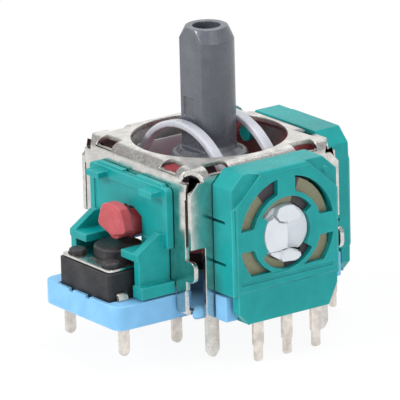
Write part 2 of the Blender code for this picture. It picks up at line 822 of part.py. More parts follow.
def resistor_board_x():
    half = HOUSING_WIDTH / 2 - HOUSING_WALL - FIT - 0.05
    bottom = BLOCK_TOP + FIT
    outline = [(half, bottom)]
    outline += arc(0, GIMBAL_Z, BOARD_TOP_RADIUS, 12, 168, 18)
    outline += [(-half, bottom)]
    shaft = arc(0, GIMBAL_Z, ROTOR_RADIUS + 0.12, 0, 345, 23)
    board = plate("board", [outline, shaft], BOARD_BACK, BOARD_FRONT, "YZ")
    for y, z in peg_places():
        back = (BOARD_BACK - 1, y, z)
        front = (BOARD_FRONT + 1, y, z)
        cut(board, rod("board_peg", PEG_RADIUS + FIT, back, front, sides=24))
    return finish(board, "resistor_board_x", "laminate")


def pot_terminal_x(index, y):
    half = PIN_WIDTH / 2
    tip = half - PIN_STEP
    outline = mirrored([
        (half, BLOCK_TOP - 0.1),
        (half, PIN_STEP_Z + 0.06),
        (tip, PIN_STEP_Z - 0.06),
        (tip, PIN_TIP + 0.12),
        (tip - 0.12, PIN_TIP),
    ])
    outline = [(y + u, v) for u, v in outline]
    pin = plate("pin", [outline], PIN_FACE - PIN_THICKNESS, PIN_FACE, "YZ")
    return finish(pin, f"pot_terminal_x_{index}", "tinned_pin")


def rotor_x():
    face = HOUSING_FACE
    profile = [
        (0.0, face),
        (ROTOR_RADIUS - 0.15, face),
        (ROTOR_RADIUS, face - 0.15),
        (ROTOR_RADIUS, ROTOR_FLANGE_FRONT),
        (ROTOR_FLANGE_RADIUS, ROTOR_FLANGE_FRONT),
        (ROTOR_FLANGE_RADIUS, ROTOR_FLANGE_BACK),
        (ROTOR_BOSS_RADIUS, ROTOR_FLANGE_BACK),
        (ROTOR_BOSS_RADIUS, ROTOR_BACK),
        (0.0, ROTOR_BACK),
    ]
    body = turned("rotor_body", profile, (0, 0, GIMBAL_Z), "X", 36)
    recess = [
        (0.15, 0.95), (0.95, 0.95), (1.15, 1.3), (1.0, 1.7), (1.0, ROTOR_RADIUS + 0.5),
        (ROTOR_RADIUS + 0.5, ROTOR_RADIUS + 0.5), (ROTOR_RADIUS + 0.5, -ROTOR_RADIUS - 0.5),
        (1.3, -ROTOR_RADIUS - 0.5), (1.3, -1.2), (0.15, -1.2),
    ]
    recess = [(u, GIMBAL_Z + v) for u, v in recess]
    step = plate("rotor_step", [recess], face - ROTOR_STEP, face + 1, "YZ")
    socket_y = TONGUE_WIDTH / 2 + RUN
    socket_z = TONGUE_HEIGHT / 2 + RUN
    socket = block(
        "rotor_socket", (ROTOR_BACK - 1, TONGUE_END + 0.1), (-socket_y, socket_y),
        (GIMBAL_Z - socket_z, GIMBAL_Z + socket_z)
    )
    cut(body, step, socket)
    return finish(body, "rotor_x", "white_plastic", (face, 0, GIMBAL_Z))


def wiper_x():
    front = BOARD_BACK - 0.08
    back = front - WIPER_SHEET
    outline = arc(0, GIMBAL_Z, ROTOR_RADIUS + WIPER_REACH, 20, 160, 20)
    outline += arc(0, GIMBAL_Z, ROTOR_RADIUS + 0.1, 160, 20, 14)
    ring = plate("wiper_arc", [outline], back, front, "YZ")
    hub = [
        arc(0, GIMBAL_Z, ROTOR_FLANGE_RADIUS - 0.1, 0, 345, 23),
        arc(0, GIMBAL_Z, ROTOR_RADIUS + 0.08, 0, 345, 23),
    ]
    spacer = plate("wiper_hub", hub, ROTOR_FLANGE_FRONT + 0.02, back + 0.03, "YZ")
    fuse(ring, spacer)
    return finish(ring, "wiper_x", "bronze_contact", (front, 0, GIMBAL_Z))


# Stick and the two arms


def lever():
    z = GIMBAL_Z
    profile = [
        (0.0, STICK_TOP),
        (STICK_RADIUS - STICK_CHAMFER, STICK_TOP),
        (STICK_RADIUS, STICK_TOP - STICK_CHAMFER_HEIGHT),
        (STICK_RADIUS, SKIRT_Z + 0.75),
        (STICK_RADIUS + 0.12, SKIRT_Z + 0.4),
        (SKIRT_RADIUS - 0.35, SKIRT_Z + 0.1),
        (SKIRT_RADIUS - 0.08, SKIRT_Z - 0.05),
        (SKIRT_RADIUS, SKIRT_Z - 0.25),
        (SKIRT_RADIUS - 0.15, SKIRT_Z - 0.45),
        (STICK_BODY_RADIUS, SKIRT_Z - 0.7),
        (STICK_BODY_RADIUS, z - 1.4),
        (FOOT_RADIUS, z - 2.0),
        (FOOT_RADIUS, z - FOOT_REACH),
        (0.0, z - FOOT_REACH),
    ]
    stick = turned("stick_body", profile, (0, 0, 0), "Z", 36)
    for sign in (-1, 1):
        flat_y = (sign * STICK_FLAT, sign * (STICK_RADIUS + 1))
        cut(stick, block("stick_flat", (-4, 4), flat_y, (SKIRT_Z + 0.45, STICK_TOP + 1)))
        body_flat = (sign * 1.5, sign * (SKIRT_RADIUS + 1))
        cut(stick, block("body_flat", (-4, 4), body_flat, (z - 2.5, SKIRT_Z - 0.7)))
    hole_bottom = STICK_TOP - STICK_HOLE_DEPTH
    cut(stick, rod("stick_hole", STICK_HOLE_RADIUS, (0, 0, hole_bottom), (0, 0, STICK_TOP + 1)))
    pocket = block("flat_pocket", (-0.95, 0.35), (-STICK_FLAT - 1, -STICK_FLAT + 0.12), (12.5, 13.9))
    cut(stick, pocket)
    half_pin = CRADLE_HALF_X - 0.3
    fuse(stick, rod("trunnion", TRUNNION_RADIUS, (-half_pin, 0, z), (half_pin, 0, z), sides=32))
    return finish(stick, "lever", "grey_plastic", (0, 0, z))


def arch_outline():
    """Outline of the arch, as (x, z): two arcs over the gimbal and straight cheeks below."""
    z = GIMBAL_Z
    low = z - CHEEK_DROP
    cheek_inner = CHEEK_OUTER - CHEEK_THICKNESS
    outer_start = math.degrees(math.acos(CHEEK_OUTER / ARCH_OUTER))
    inner_start = math.degrees(math.acos(cheek_inner / ARCH_INNER))
    outline = [(CHEEK_OUTER, low)]
    outline += arc(0, z, ARCH_OUTER, outer_start, 180 - outer_start, 32)
    outline += [(-CHEEK_OUTER, low), (-cheek_inner, low)]
    outline += arc(0, z, ARCH_INNER, 180 - inner_start, inner_start, 28)
    outline += [(cheek_inner, low)]
    return outline


def upper_arm():
    z = GIMBAL_Z
    arch = plate("arch", [arch_outline()], -RAIL_OUTER, RAIL_OUTER, "XZ")
    slot_half = CHEEK_OUTER - CHEEK_THICKNESS - 0.45
    slot = block("arch_slot", (-slot_half, slot_half), (-RAIL_INNER, RAIL_INNER), (z, z + 8))
    cut(arch, slot)
    tongue = block(
        "x_tongue", (CHEEK_OUTER - 0.2, TONGUE_END), (-TONGUE_WIDTH / 2, TONGUE_WIDTH / 2),
        (z - TONGUE_HEIGHT / 2, z + TONGUE_HEIGHT / 2)
    )
    journal_end = -FRAME_HALF - JOURNAL_PROUD
    journal = rod("journal", JOURNAL_RADIUS, (-CHEEK_OUTER + 0.2, 0, z), (journal_end, 0, z))
    fuse(arch, tongue, journal)
    return finish(arch, "upper_arm", "milky_plastic", (0, 0, z))


def knob_outline():
    """Five-sided knob with soft corners, as (x, z)."""
    z = GIMBAL_Z
    return mirrored([
        (0.45, z + 1.95),
        (1.05, z + 1.72),
        (1.3, z + 1.3),
        (1.62, z + 0.25),
        (1.68, z - 0.1),
        (1.45, z - 0.35),
        (0.25, z - 0.85),
    ])


def lower_arm():
    z = GIMBAL_Z
    x_span = (-CRADLE_HALF_X, CRADLE_HALF_X)
    y_span = (-CRADLE_HALF_Y, CRADLE_HALF_Y)
    inner_x = STICK_BODY_RADIUS + 0.25
    outer = rounded_box_outline(x_span, y_span, 1.6, 6)
    inner = rounded_box_outline((-inner_x, inner_x), (-CRADLE_INNER_Y, CRADLE_INNER_Y), 1.0, 4)
    cradle = plate("cradle", [outer, inner], z - CRADLE_DROP, z + CRADLE_RISE, "XY")
    round_edges(cradle, 0.2, 1)
    hole_half = CRADLE_HALF_X + 1
    hole = rod("trunnion_hole", TRUNNION_RADIUS + RUN, (-hole_half, 0, z), (hole_half, 0, z))
    cut(cradle, hole)
    shaft = rod("y_shaft", ARM_SHAFT_RADIUS, (0, CRADLE_HALF_Y - 0.4, z), (0, ROTOR_BACK - 0.1, z))
    tongue = block(
        "y_tongue", (-TONGUE_WIDTH / 2, TONGUE_WIDTH / 2), (ROTOR_BACK - 0.4, TONGUE_END),
        (z - TONGUE_HEIGHT / 2, z + TONGUE_HEIGHT / 2)
    )
    neck = rod("neck", NECK_RADIUS, (0, -CRADLE_HALF_Y + 0.4, z), (0, KNOB_BACK - 0.2, z))
    presser = rod("presser", PRESSER_RADIUS, (0, PRESSER_BACK, z), (0, KNOB_FRONT + 0.1, z))
    knob = plate("knob", [knob_outline()], KNOB_FRONT, KNOB_BACK, "XZ")
    round_edges(knob, KNOB_EDGE, 2, 30)
    fuse(cradle, shaft, tongue, neck, presser, knob)
    return finish(cradle, "lower_arm", "red_plastic", (0, PRESS_PIVOT_Y, z))


# Centering slider and spring


def centering_slider():
    skirt_bottom = SLIDER_TOP - SLIDER_THICKNESS - SLIDER_SKIRT_DROP
    profile = [
        (0.0, SLIDER_TOP),
        (SLIDER_RADIUS - 0.1, SLIDER_TOP),
        (SLIDER_RADIUS, SLIDER_TOP - 0.1),
        (SLIDER_RADIUS, skirt_bottom),
        (SLIDER_RADIUS - SLIDER_SKIRT, skirt_bottom),
        (SLIDER_RADIUS - SLIDER_SKIRT, SLIDER_TOP - SLIDER_THICKNESS),
        (0.0, SLIDER_TOP - SLIDER_THICKNESS),
    ]
    plate_body = turned("slider_body", profile, (0, 0, 0), "Z", 40)
    return finish(plate_body, "centering_slider", "black_plastic", (0, 0, SLIDER_TOP))


def return_spring():
    """A coil between the spring seat and the slider, with closed end turns."""
    bottom = SEAT_FLOOR + SPRING_WIRE + FIT
    top = SLIDER_TOP - SLIDER_THICKNESS - SPRING_WIRE - FIT
    per_turn = 12
    count = int(per_turn * SPRING_TURNS)
    curve = bpy.data.curves.new("spring", "CURVE")
    curve.dimensions = "3D"
    curve.bevel_depth = SPRING_WIRE
    curve.bevel_resolution = 1
    curve.use_fill_caps = True
    spline = curve.splines.new("POLY")
    spline.points.add(count)
    for index, point in enumerate(spline.points):
        angle = 2 * math.pi * index / per_turn
        share = index / count
        height = bottom + (top - bottom) * share
        point.co = (SPRING_RADIUS * math.cos(angle), SPRING_RADIUS * math.sin(angle), height, 1.0)
    drawn = bpy.data.objects.new("spring", curve)
    CUTTERS.objects.link(drawn)
    evaluated = drawn.evaluated_get(bpy.context.evaluated_depsgraph_get())
    mesh = bpy.data.meshes.new_from_object(evaluated)
    bpy.data.objects.remove(drawn)
    bpy.data.curves.remove(curve)
    bm = bmesh.new()
    bm.from_mesh(mesh)
    bpy.data.meshes.remove(mesh)
    bmesh.ops.remove_doubles(bm, verts=bm.verts, dist=0.0001)
    bmesh.ops.scale(bm, vec=(MM, MM, MM), verts=bm.verts)
    coil = shape_from_bmesh("coil", bm)
    return finish(coil, "return_spring", "spring_steel", (0, 0, SEAT_FLOOR))


# Push switch


def switch_spans(inset=0.0):
    half = SWITCH_HALF - inset
    return (-half, half), (SWITCH_Y - half, SWITCH_Y + half)


def post_places():
    half = POST_PITCH / 2
    return [(x, SWITCH_Y + y) for x in (-half, half) for y in (-half, half)]


def terminal_places():
    half = TERMINAL_PITCH_Y / 2
    middle = SWITCH_Y + TERMINAL_SHIFT
    return [(sign, middle + y) for sign in (-1, 1) for y in (-half, half)]


def switch_body():
    x_span, y_span = switch_spans()
    top = SWITCH_TOP - COVER_THICKNESS - FIT
    body = plate("switch_case", [rounded_box_outline(x_span, y_span, 0.25, 3)], SWITCH_FLOOR, top)
    well_floor = (0, SWITCH_Y, SWITCH_WELL_FLOOR)
    cut(body, rod("switch_well", SWITCH_WELL_RADIUS, well_floor, (0, SWITCH_Y, top + 1)))
    for x, y in post_places():
        base = (x, y, top - 0.3)
        shoulder = (x, y, SWITCH_TOP + POST_HEIGHT - 0.1)
        crown = (x, y, SWITCH_TOP + POST_HEIGHT)
        fuse(body, rod("post", POST_RADIUS, base, shoulder, sides=14))
        fuse(body, rod("post_crown", POST_RADIUS, shoulder, crown, POST_RADIUS - 0.1, 14))
    for sign, y in terminal_places():
        recess_half = TERMINAL_WIDTH / 2 + FIT
        recess = block(
            "terminal_recess", (sign * (TERMINAL_ROOT - FIT), sign * (SWITCH_HALF + 1)),
            (y - recess_half, y + recess_half),
            (TERMINAL_TOP - TERMINAL_THICKNESS - FIT, TERMINAL_TOP + FIT)
        )
        cut(body, recess)
    return finish(body, "switch_body", "black_plastic")


def switch_cover_plate():
    x_span, y_span = switch_spans(0.12)
    low = SWITCH_TOP - COVER_THICKNESS
    cover = plate("switch_cover", [rounded_box_outline(x_span, y_span, 0.3, 3)], low, SWITCH_TOP)
    opening = (0, SWITCH_Y, low - 1), (0, SWITCH_Y, SWITCH_TOP + 1)
    cut(cover, rod("button_opening", BUTTON_RADIUS + RUN, *opening, sides=32))
    for x, y in post_places():
        under = (x, y, low - 1)
        over = (x, y, SWITCH_TOP + 1)
        cut(cover, rod("post_hole", POST_RADIUS + FIT, under, over, sides=14))
    return finish(cover, "switch_cover_plate", "nickel_sheet")


def switch_plunger():
    flange_top = SWITCH_TOP - COVER_THICKNESS - RUN
    flange_bottom = flange_top - BUTTON_FLANGE
    profile = [
        (0.0, BUTTON_TOP),
        (BUTTON_RADIUS - 0.1, BUTTON_TOP),
        (BUTTON_RADIUS, BUTTON_TOP - 0.1),
        (BUTTON_RADIUS, flange_top),
        (BUTTON_FLANGE_RADIUS, flange_top),
        (BUTTON_FLANGE_RADIUS, flange_bottom),
        (0.9, flange_bottom),
        (0.8, flange_bottom - 0.25),
        (0.0, flange_bottom - 0.25),
    ]
    button = turned("button_body", profile, (0, SWITCH_Y, 0), "Z", 32)
    return finish(button, "switch_plunger", "black_plastic", (0, SWITCH_Y, BUTTON_TOP))


def switch_dome():
    """Shallow snap dome on the floor of the switch's well."""
    rim = SWITCH_WELL_RADIUS - 0.2
    floor = SWITCH_WELL_FLOOR + FIT
    steps = 4
    outer = []
    inner = []
    for step in range(steps + 1):
        share = step / steps
        height = floor + DOME_RISE * (1 - share * share)
        outer.append((rim * share, height + DOME_SHEET))
        inner.append((rim * share, height))
    profile = outer + list(reversed(inner))
    dome = turned("dome_body", profile, (0, SWITCH_Y, 0), "Z", 20)
    return finish(dome, "switch_dome", "spring_steel", (0, SWITCH_Y, floor))


def switch_terminal(index, sign, y):
    """A flat terminal that leaves the body's side, bends and runs down through the tray."""
    half = TERMINAL_WIDTH / 2
    inner = TERMINAL_OUT - TERMINAL_THICKNESS
    bend_x = TERMINAL_OUT - TERMINAL_BEND
    bend_z = TERMINAL_TOP - TERMINAL_BEND
    bend_inside = TERMINAL_BEND - TERMINAL_THICKNESS
    profile = [(TERMINAL_ROOT, TERMINAL_TOP - TERMINAL_THICKNESS)]
    profile += arc(bend_x, bend_z, bend_inside, 90, 0, 3)
    profile += [(inner, TERMINAL_TIP - 1), (TERMINAL_OUT, TERMINAL_TIP - 1)]
    profile += arc(bend_x, bend_z, TERMINAL_BEND, 0, 90, 4)
    profile += [(TERMINAL_ROOT, TERMINAL_TOP)]
    profile = [(sign * u, v) for u, v in profile]
    strip = plate("terminal", [profile], y - half, y + half, "XZ")
    beside = half + 1
    above = TERMINAL_TOP + 1
    shoulder = TERMINAL_TIP + half + 0.15
    face = [(y + beside, above), (y + beside, shoulder), (y + half + 0.1, shoulder)]
    face += arc(y, TERMINAL_TIP + half, half, 345, 195, 6)
    face += [(y - half - 0.1, shoulder), (y - beside, shoulder), (y - beside, above)]
    low, high = sorted((sign * (TERMINAL_ROOT - 1), sign * (TERMINAL_OUT + 1)))
    boolean(strip, plate("terminal_face", [face], low, high, "YZ"), "INTERSECT")
    return finish(strip, f"switch_terminal_{index}", "tinned_pin")


# Base and tray


def base_tray():
    inner = FRAME_INNER - FIT
    seat = SWITCH_HALF + RUN
    skirt_bottom = SLIDER_TOP - SLIDER_THICKNESS - SLIDER_SKIRT_DROP
    bore_floor = skirt_bottom - SLIDER_GAP - 0.1
    floor = block("floor_body", (-inner, inner), (-inner, inner), (0.0, BASE_FLOOR))
    vertical = floor.modifiers.new("Corners", "BEVEL")
    vertical.width = BASE_CORNER * MM
    vertical.segments = 3
    vertical.limit_method = "ANGLE"
    tray_outline = (
        arc(TRAY_HALF - TRAY_CORNER, TRAY_FRONT + TRAY_CORNER, TRAY_CORNER, 360, 270, 5)
        + arc(-TRAY_HALF + TRAY_CORNER, TRAY_FRONT + TRAY_CORNER, TRAY_CORNER, 270, 180, 5)
        + [(-TRAY_HALF, -inner + 1.0), (TRAY_HALF, -inner + 1.0)]
    )
    tray = plate("tray_body", [tray_outline], 0.0, TRAY_TOP)
    collar_radius = SLIDER_RADIUS + RUN + COLLAR_WALL
    collar = rod("collar", collar_radius, (0, 0, BASE_FLOOR - 0.3), (0, 0, COLLAR_TOP), sides=32)
    fuse(floor, tray, collar)
    bridge = (inner - 0.5, FRAME_HALF + 0.3)
    foot = (FRAME_HALF + 0.1, FOOT_OUTER)
    foot_z = (0.1, FOOT_TOP)
    foot_inner = FOOT_SIDE - FOOT_WIDTH
    bridge_outer = LEG_OUTER - LEG_WIDTH - FIT
    for bridge_span in both_sides((foot_inner, bridge_outer)):
        fuse(floor, block("bridge_x", bridge, bridge_span, foot_z))
        fuse(floor, block("bridge_y", bridge_span, bridge, foot_z))
    for foot_span in both_sides((foot_inner, FOOT_SIDE)):
        fuse(floor, block("foot_x", foot, foot_span, foot_z))
        fuse(floor, block("foot_y", foot_span, foot, foot_z))
    seat_y = (SWITCH_FRONT - RUN, SWITCH_BACK + RUN)
    cut(
        floor,
        block("switch_seat", (-seat, seat), seat_y, (SWITCH_FLOOR - FIT, 5)),
        rod("slider_bore", SLIDER_RADIUS + RUN, (0, 0, bore_floor), (0, 0, COLLAR_TOP + 1), sides=32),
        rod("spring_seat", SPRING_RADIUS + 0.35, (0, 0, SEAT_FLOOR), (0, 0, BASE_FLOOR + 1)),
    )
    for sign, y in terminal_places():
        slot_half = TERMINAL_WIDTH / 2 + FIT
        slot_x = (sign * SWITCH_HALF, sign * (TERMINAL_OUT + FIT))
        slot_y = (y - slot_half, y + slot_half)
        cut(floor, block("terminal_slot", slot_x, slot_y, (-1, 3)))
    for x_span in both_sides((CLINCH_OUTER - CLINCH_WIDTH - FIT, CLINCH_OUTER + FIT)):
        for y_span in both_sides((FRAME_INNER - CLINCH_LENGTH - FIT, FRAME_HALF + 1)):
            cut(floor, block("clinch_recess", x_span, y_span, (-1, CLINCH_TOP + FIT)))
    notch_y = (TRAY_FRONT - 1, SWITCH_FRONT)
    for x in (-1.4, 0.6):
        cut(floor, block("rim_notch", (x, x + 0.5), notch_y, (TRAY_TOP - 0.2, 5)))
    return finish(floor, "base_tray", "blue_plastic")


# Switch-side holder


def switch_side_holder():
    seat = -SIDE_SEAT
    face = -HOLDER_FACE
    upper = rounded_box_outline((-HOLDER_HALF, HOLDER_HALF), (HOLDER_STEP, HOLDER_TOP), 0.3, 3)
    body = plate("holder_plate", [upper], face, seat, "XZ")
    recess_half = HOLDER_HALF - BORDER
    recess_z = (HOLDER_STEP - 1, HOLDER_TOP - 0.85)
    recess_y = (face - 1, face + RECESS)
    cut(body, block("holder_recess", (-recess_half, recess_half), recess_y, recess_z))
    rim_half = HOLDER_HALF - 0.4
    rim = mirrored([
        (rim_half - 0.4, HOLDER_TOP + 0.2),
        (rim_half, HOLDER_TOP - 0.2),
        (rim_half, HOLDER_TOP - 1.0),
    ])
    gap_z = (HOLDER_TOP + 0.02, HOLDER_TOP + 1)
    rim_gap = block("rim_gap", (-0.8, 0.8), (face - 1, seat + 1), gap_z)
    rear_rim = cut(plate("rear_rim", [rim], face + 0.15, seat, "XZ"), rim_gap)
    lower = block(
        "holder_lower", (-HOLDER_LOWER_HALF, HOLDER_LOWER_HALF), (face + 0.04, seat),
        (HOLDER_BOTTOM, HOLDER_STEP + 0.4)
    )
    fuse(body, rear_rim, lower)
    for x_span in both_sides((HOOK_INNER, HOOK_OUTER)):
        hook_y = (face - HOOK_REACH, face + 0.3)
        fuse(body, block("hook", x_span, hook_y, (HOOK_BOTTOM, HOOK_TOP)))
    gusset = [
        (-face - 0.3, HOLDER_BOTTOM),
        (GUSSET_REACH - 0.1, HOLDER_BOTTOM),
        (GUSSET_REACH - 0.1, HOLDER_STEP - 0.5),
        (GUSSET_REACH, HOLDER_STEP - 0.45),
        (GUSSET_REACH, HOLDER_STEP),
        (-face + 0.4, GUSSET_TOP),
        (-face - 0.3, GUSSET_TOP),
    ]
    gusset = [(-u, v) for u, v in gusset]
    outer = HOLDER_LOWER_HALF + 0.05
    for x_low, x_high in both_sides((outer - GUSSET_THICKNESS, outer)):
        fuse(body, plate("gusset", [gusset], x_low, x_high, "YZ"))
    for x_span in both_sides((LEDGE_INNER, outer - 0.1)):
        ledge_y = (-GUSSET_REACH, face + 0.3)
        fuse(body, block("ledge", x_span, ledge_y, (LEDGE_BOTTOM, HOLDER_STEP)))
    for x_span in both_sides((TERMINAL_OUT + 0.12, HOLDER_HALF)):
        foot_y = (-GUSSET_REACH - 0.05, seat)
        fuse(body, block("holder_foot", x_span, foot_y, (HOLDER_BOTTOM, HOLDER_FOOT_TOP)))
    neck_half = NECK_RADIUS + 0.45
    slot = mirrored([
        (0.5, GIMBAL_Z + NECK_RADIUS + 0.3),
        (neck_half, GIMBAL_Z + NECK_RADIUS - 0.2),
        (neck_half, 3.0),
    ])
    cut(body, plate("neck_slot", [slot], face - 0.5, seat + 0.5, "XZ"))
    button_foot = (0, SWITCH_Y, SWITCH_TOP)
    button_head = (0, SWITCH_Y, BUTTON_TOP + RUN)
    clear = TERMINAL_OUT + 0.075
    case_y = (SWITCH_FRONT - 1, SWITCH_BACK + 1)
    case_z = (HOLDER_BOTTOM - 1, SWITCH_TOP + POST_HEIGHT + 0.1)
    cut(
        body,
        rod("button_clear", BUTTON_RADIUS + 2 * RUN, button_foot, button_head, sides=24),
        block("switch_clear", (-clear, clear), case_y, case_z),
    )
    return finish(body, "switch_side_holder", "teal_plastic")


# Assembly


def build():
    cover = frame_cover()
    base = base_tray()
    holder = switch_side_holder()
    housing = pot_housing_x()
    board = resistor_board_x()
    rotor = rotor_x()
    wiper = wiper_x()
    pins = [pot_terminal_x(index, y) for index, y in enumerate(pin_places(), 1)]
    housing_y = turned_copy(housing, "pot_housing_y", "teal_plastic")
    board_y = turned_copy(board, "resistor_board_y", "laminate")
    rotor_y = turned_copy(rotor, "rotor_y", "white_plastic")
    wiper_y = turned_copy(wiper, "wiper_y", "bronze_contact")
    pins_y = [
        turned_copy(pin, f"pot_terminal_y_{index}", "tinned_pin")
        for index, pin in enumerate(pins, 1)
    ]
    stick = lever()
    arch = upper_arm()
    cradle = lower_arm()
    slider = centering_slider()
    spring = return_spring()
    case = switch_body()
    case_cover = switch_cover_plate()
    button = switch_plunger()
    dome = switch_dome()
    terminals = [
        switch_terminal(index, sign, y)
        for index, (sign, y) in enumerate(terminal_places(), 1)
    ]
    carry(base, cover, holder, housing, board, housing_y, board_y, *pins, *pins_y)
    carry(base, arch, rotor_y, slider, spring, case, case_cover, button, dome, *terminals)
    carry(arch, rotor, wiper)
    carry(rotor_y, wiper_y, cradle)
    carry(cradle, stick)


build()
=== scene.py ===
"""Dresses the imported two-axis analog stick module with fine shapes, materials and a studio.

Lengths in the modelling code are millimetres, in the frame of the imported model: +Z up along the
stick, -Y towards the push switch, +X towards the first sensor. Finished pieces are in metres.
"""

import math

import bmesh
import bpy
from bpy.props import FloatProperty, FloatVectorProperty, PointerProperty
from mathutils import Matrix, Vector


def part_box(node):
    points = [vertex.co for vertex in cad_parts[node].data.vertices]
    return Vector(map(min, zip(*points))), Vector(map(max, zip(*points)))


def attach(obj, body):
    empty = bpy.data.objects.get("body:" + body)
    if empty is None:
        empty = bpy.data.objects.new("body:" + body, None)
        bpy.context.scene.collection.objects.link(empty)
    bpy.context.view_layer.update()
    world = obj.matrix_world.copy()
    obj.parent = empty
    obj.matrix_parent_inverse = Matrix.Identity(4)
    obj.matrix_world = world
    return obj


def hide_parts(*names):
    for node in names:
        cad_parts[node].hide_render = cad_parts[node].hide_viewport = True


bl_info = {
    "name": "Analog stick dresser",
    "version": (1, 0, 0),
    "blender": (4, 5, 0),
    "location": "3D View > Sidebar > Analog stick",
    "description": "Builds the shapes, materials and studio of a two-axis stick module",
    "category": "Object",
}

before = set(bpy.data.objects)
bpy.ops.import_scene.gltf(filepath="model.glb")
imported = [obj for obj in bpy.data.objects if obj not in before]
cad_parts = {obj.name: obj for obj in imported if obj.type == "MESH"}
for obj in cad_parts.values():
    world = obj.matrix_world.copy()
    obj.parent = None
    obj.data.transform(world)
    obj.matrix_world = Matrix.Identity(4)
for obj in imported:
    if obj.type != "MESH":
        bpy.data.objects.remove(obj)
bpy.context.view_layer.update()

MM = 0.001

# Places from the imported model, in millimetres
GIMBAL_Z = 6.0
FRAME_HALF = 6.5
SHEET = 0.35
PIN_TIP = -2.9

# The sides that carry a sensor, with the turn from the first one
SENSOR_SIDES = (("x", 0.0), ("y", math.pi / 2))


# Settings


def tone_property(name, description, red, green, blue):
    """A colour setting, with its default in the 0 to 255 values that a screen shows."""
    return FloatVectorProperty(
        name=name,
        description=description,
        default=(red / 255, green / 255, blue / 255),
        min=0.0,
        max=1.0,
        size=3,
        subtype="COLOR_GAMMA",
    )


def length_property(name, description, length):
    """A length setting, with its default given in millimetres."""
    return FloatProperty(
        name=name,
        description=description,
        default=length * MM,
        min=length * MM / 2,
        max=length * MM * 2,
        precision=5,
        subtype="DISTANCE",
        unit="LENGTH",
    )


def in_mm(length):
    """A length setting, kept in metres, as millimetres for the modelling code."""
    return round(length / MM, 5)


class StickColours(bpy.types.PropertyGroup):
    """The colours of the finishes"""

    teal: tone_property("Sensor green", "Colour of the sensor housings and the holder", 0, 153, 152)
    blue: tone_property("Base blue", "Colour of the base and its tray", 128, 192, 236)
    stick: tone_property("Stick grey", "Colour of the stick", 84, 87, 96)
    red: tone_property("Arm red", "Colour of the lower arm and its knob", 192, 78, 84)
    rotor: tone_property("Rotor white", "Colour of the rotors", 224, 228, 233)
    arch: tone_property("Arch white", "Colour of the translucent upper arm", 200, 202, 210)
    black: tone_property("Switch black", "Colour of the push switch", 34, 34, 37)
    nickel: tone_property("Sheet metal", "Colour of the folded frame", 232, 230, 225)
    tin: tone_property("Pins", "Colour of the tinned pins and terminals", 236, 228, 220)
    laminate: tone_property("Board", "Colour of the bare sensor board", 146, 142, 112)
    carbon: tone_property("Carbon track", "Colour of the printed tracks on the boards", 70, 63, 68)


class StickSizes(bpy.types.PropertyGroup):
    """The sizes of the fine shapes"""

    sheet_edge: length_property("Sheet edge", "Rounding of the metal frame's edges", 0.05)
    base_edge: length_property("Base edge", "Rounding of the base's edges", 0.08)
    holder_edge: length_property("Holder edge", "Rounding of the holder's edges", 0.045)
    housing_edge: length_property("Housing edge", "Rounding of the sensor housings' edges", 0.06)
    rotor_edge: length_property("Rotor edge", "Rounding of the rotors' edges", 0.05)
    pin_edge: length_property("Pin edge", "Rounding of the sensor pins' edges", 0.05)
    pin_pitch: length_property("Pin pitch", "Distance between the sensor pins", 2.5)
    case_edge: length_property("Case edge", "Rounding of the push switch's case", 0.07)
    plate_edge: length_property("Plate edge", "Rounding of the push switch's cover plate", 0.04)
    button_edge: length_property("Button edge", "Rounding of the push switch's button", 0.06)
    stick_cell: length_property("Stick cell", "Cell size that softens the stick", 0.05)
    cheek_cell: length_property("Cheek cell", "Cell size that softens the upper arm's cheeks", 0.06)
    arm_cell: length_property("Arm cell", "Cell size that softens the lower arm", 0.055)
    rail_width: length_property("Rail width", "Width of an upper arm's rail", 0.46)
    rail_height: length_property("Rail height", "Height of an upper arm's rail", 0.8)
    rail_gap: length_property("Rail gap", "Distance between the rails' middles", 4.3)
    spring_wire: length_property("Spring wire", "Radius of the return spring's wire", 0.12)


class StickSettings(bpy.types.PropertyGroup):
    """All that a user can change on the stick module"""

    colours: PointerProperty(
        type=StickColours, name="Colours", description="Colours of the finishes"
    )
    sizes: PointerProperty(
        type=StickSizes, name="Sizes", description="Sizes of the fine shapes"
    )


def settings():
    """The settings of this scene."""
    return bpy.context.scene.analog_stick


# Shapes. Each one is a work object in millimetres until it is dressed.

# Angles between faces, in degrees
SMOOTH_ANGLE = 35.0
FLAT_ANGLE = 1.0
CREASE_ANGLE = 50.0


def work_object(name, bm):
    """Takes a bmesh's faces as a new object, smooth where they bend by less than SMOOTH_ANGLE."""
    bmesh.ops.recalc_face_normals(bm, faces=bm.faces[:])
    mesh = bpy.data.meshes.new(name)
    bm.to_mesh(mesh)
    bm.free()
    mesh.shade_smooth()
    mesh.set_sharp_from_angle(angle=math.radians(SMOOTH_ANGLE))
    obj = bpy.data.objects.new(name, mesh)
    bpy.context.scene.collection.objects.link(obj)
    return obj


def block(x_span, y_span, z_span):
    """A box between two values on each axis."""
    spans = [sorted(span) for span in (x_span, y_span, z_span)]
    bm = bmesh.new()
    bmesh.ops.create_cube(bm, size=1.0)
    bmesh.ops.scale(bm, vec=[high - low for low, high in spans], verts=bm.verts)
    bmesh.ops.translate(bm, vec=[(high + low) / 2 for low, high in spans], verts=bm.verts)
    return work_object("block", bm)


def rod(radius, start, end, sides=48):
    """A cylinder between two points."""
    start, end = Vector(start), Vector(end)
    axis = end - start
    bm = bmesh.new()
    bmesh.ops.create_cone(
        bm,
        cap_ends=True,
        segments=sides,
        radius1=radius,
        radius2=radius,
        depth=axis.length,
    )
    turn = axis.to_track_quat("Z", "Y").to_matrix().to_4x4()
    bmesh.ops.transform(bm, matrix=Matrix.Translation((start + end) / 2) @ turn, verts=bm.verts)
    return work_object("rod", bm)


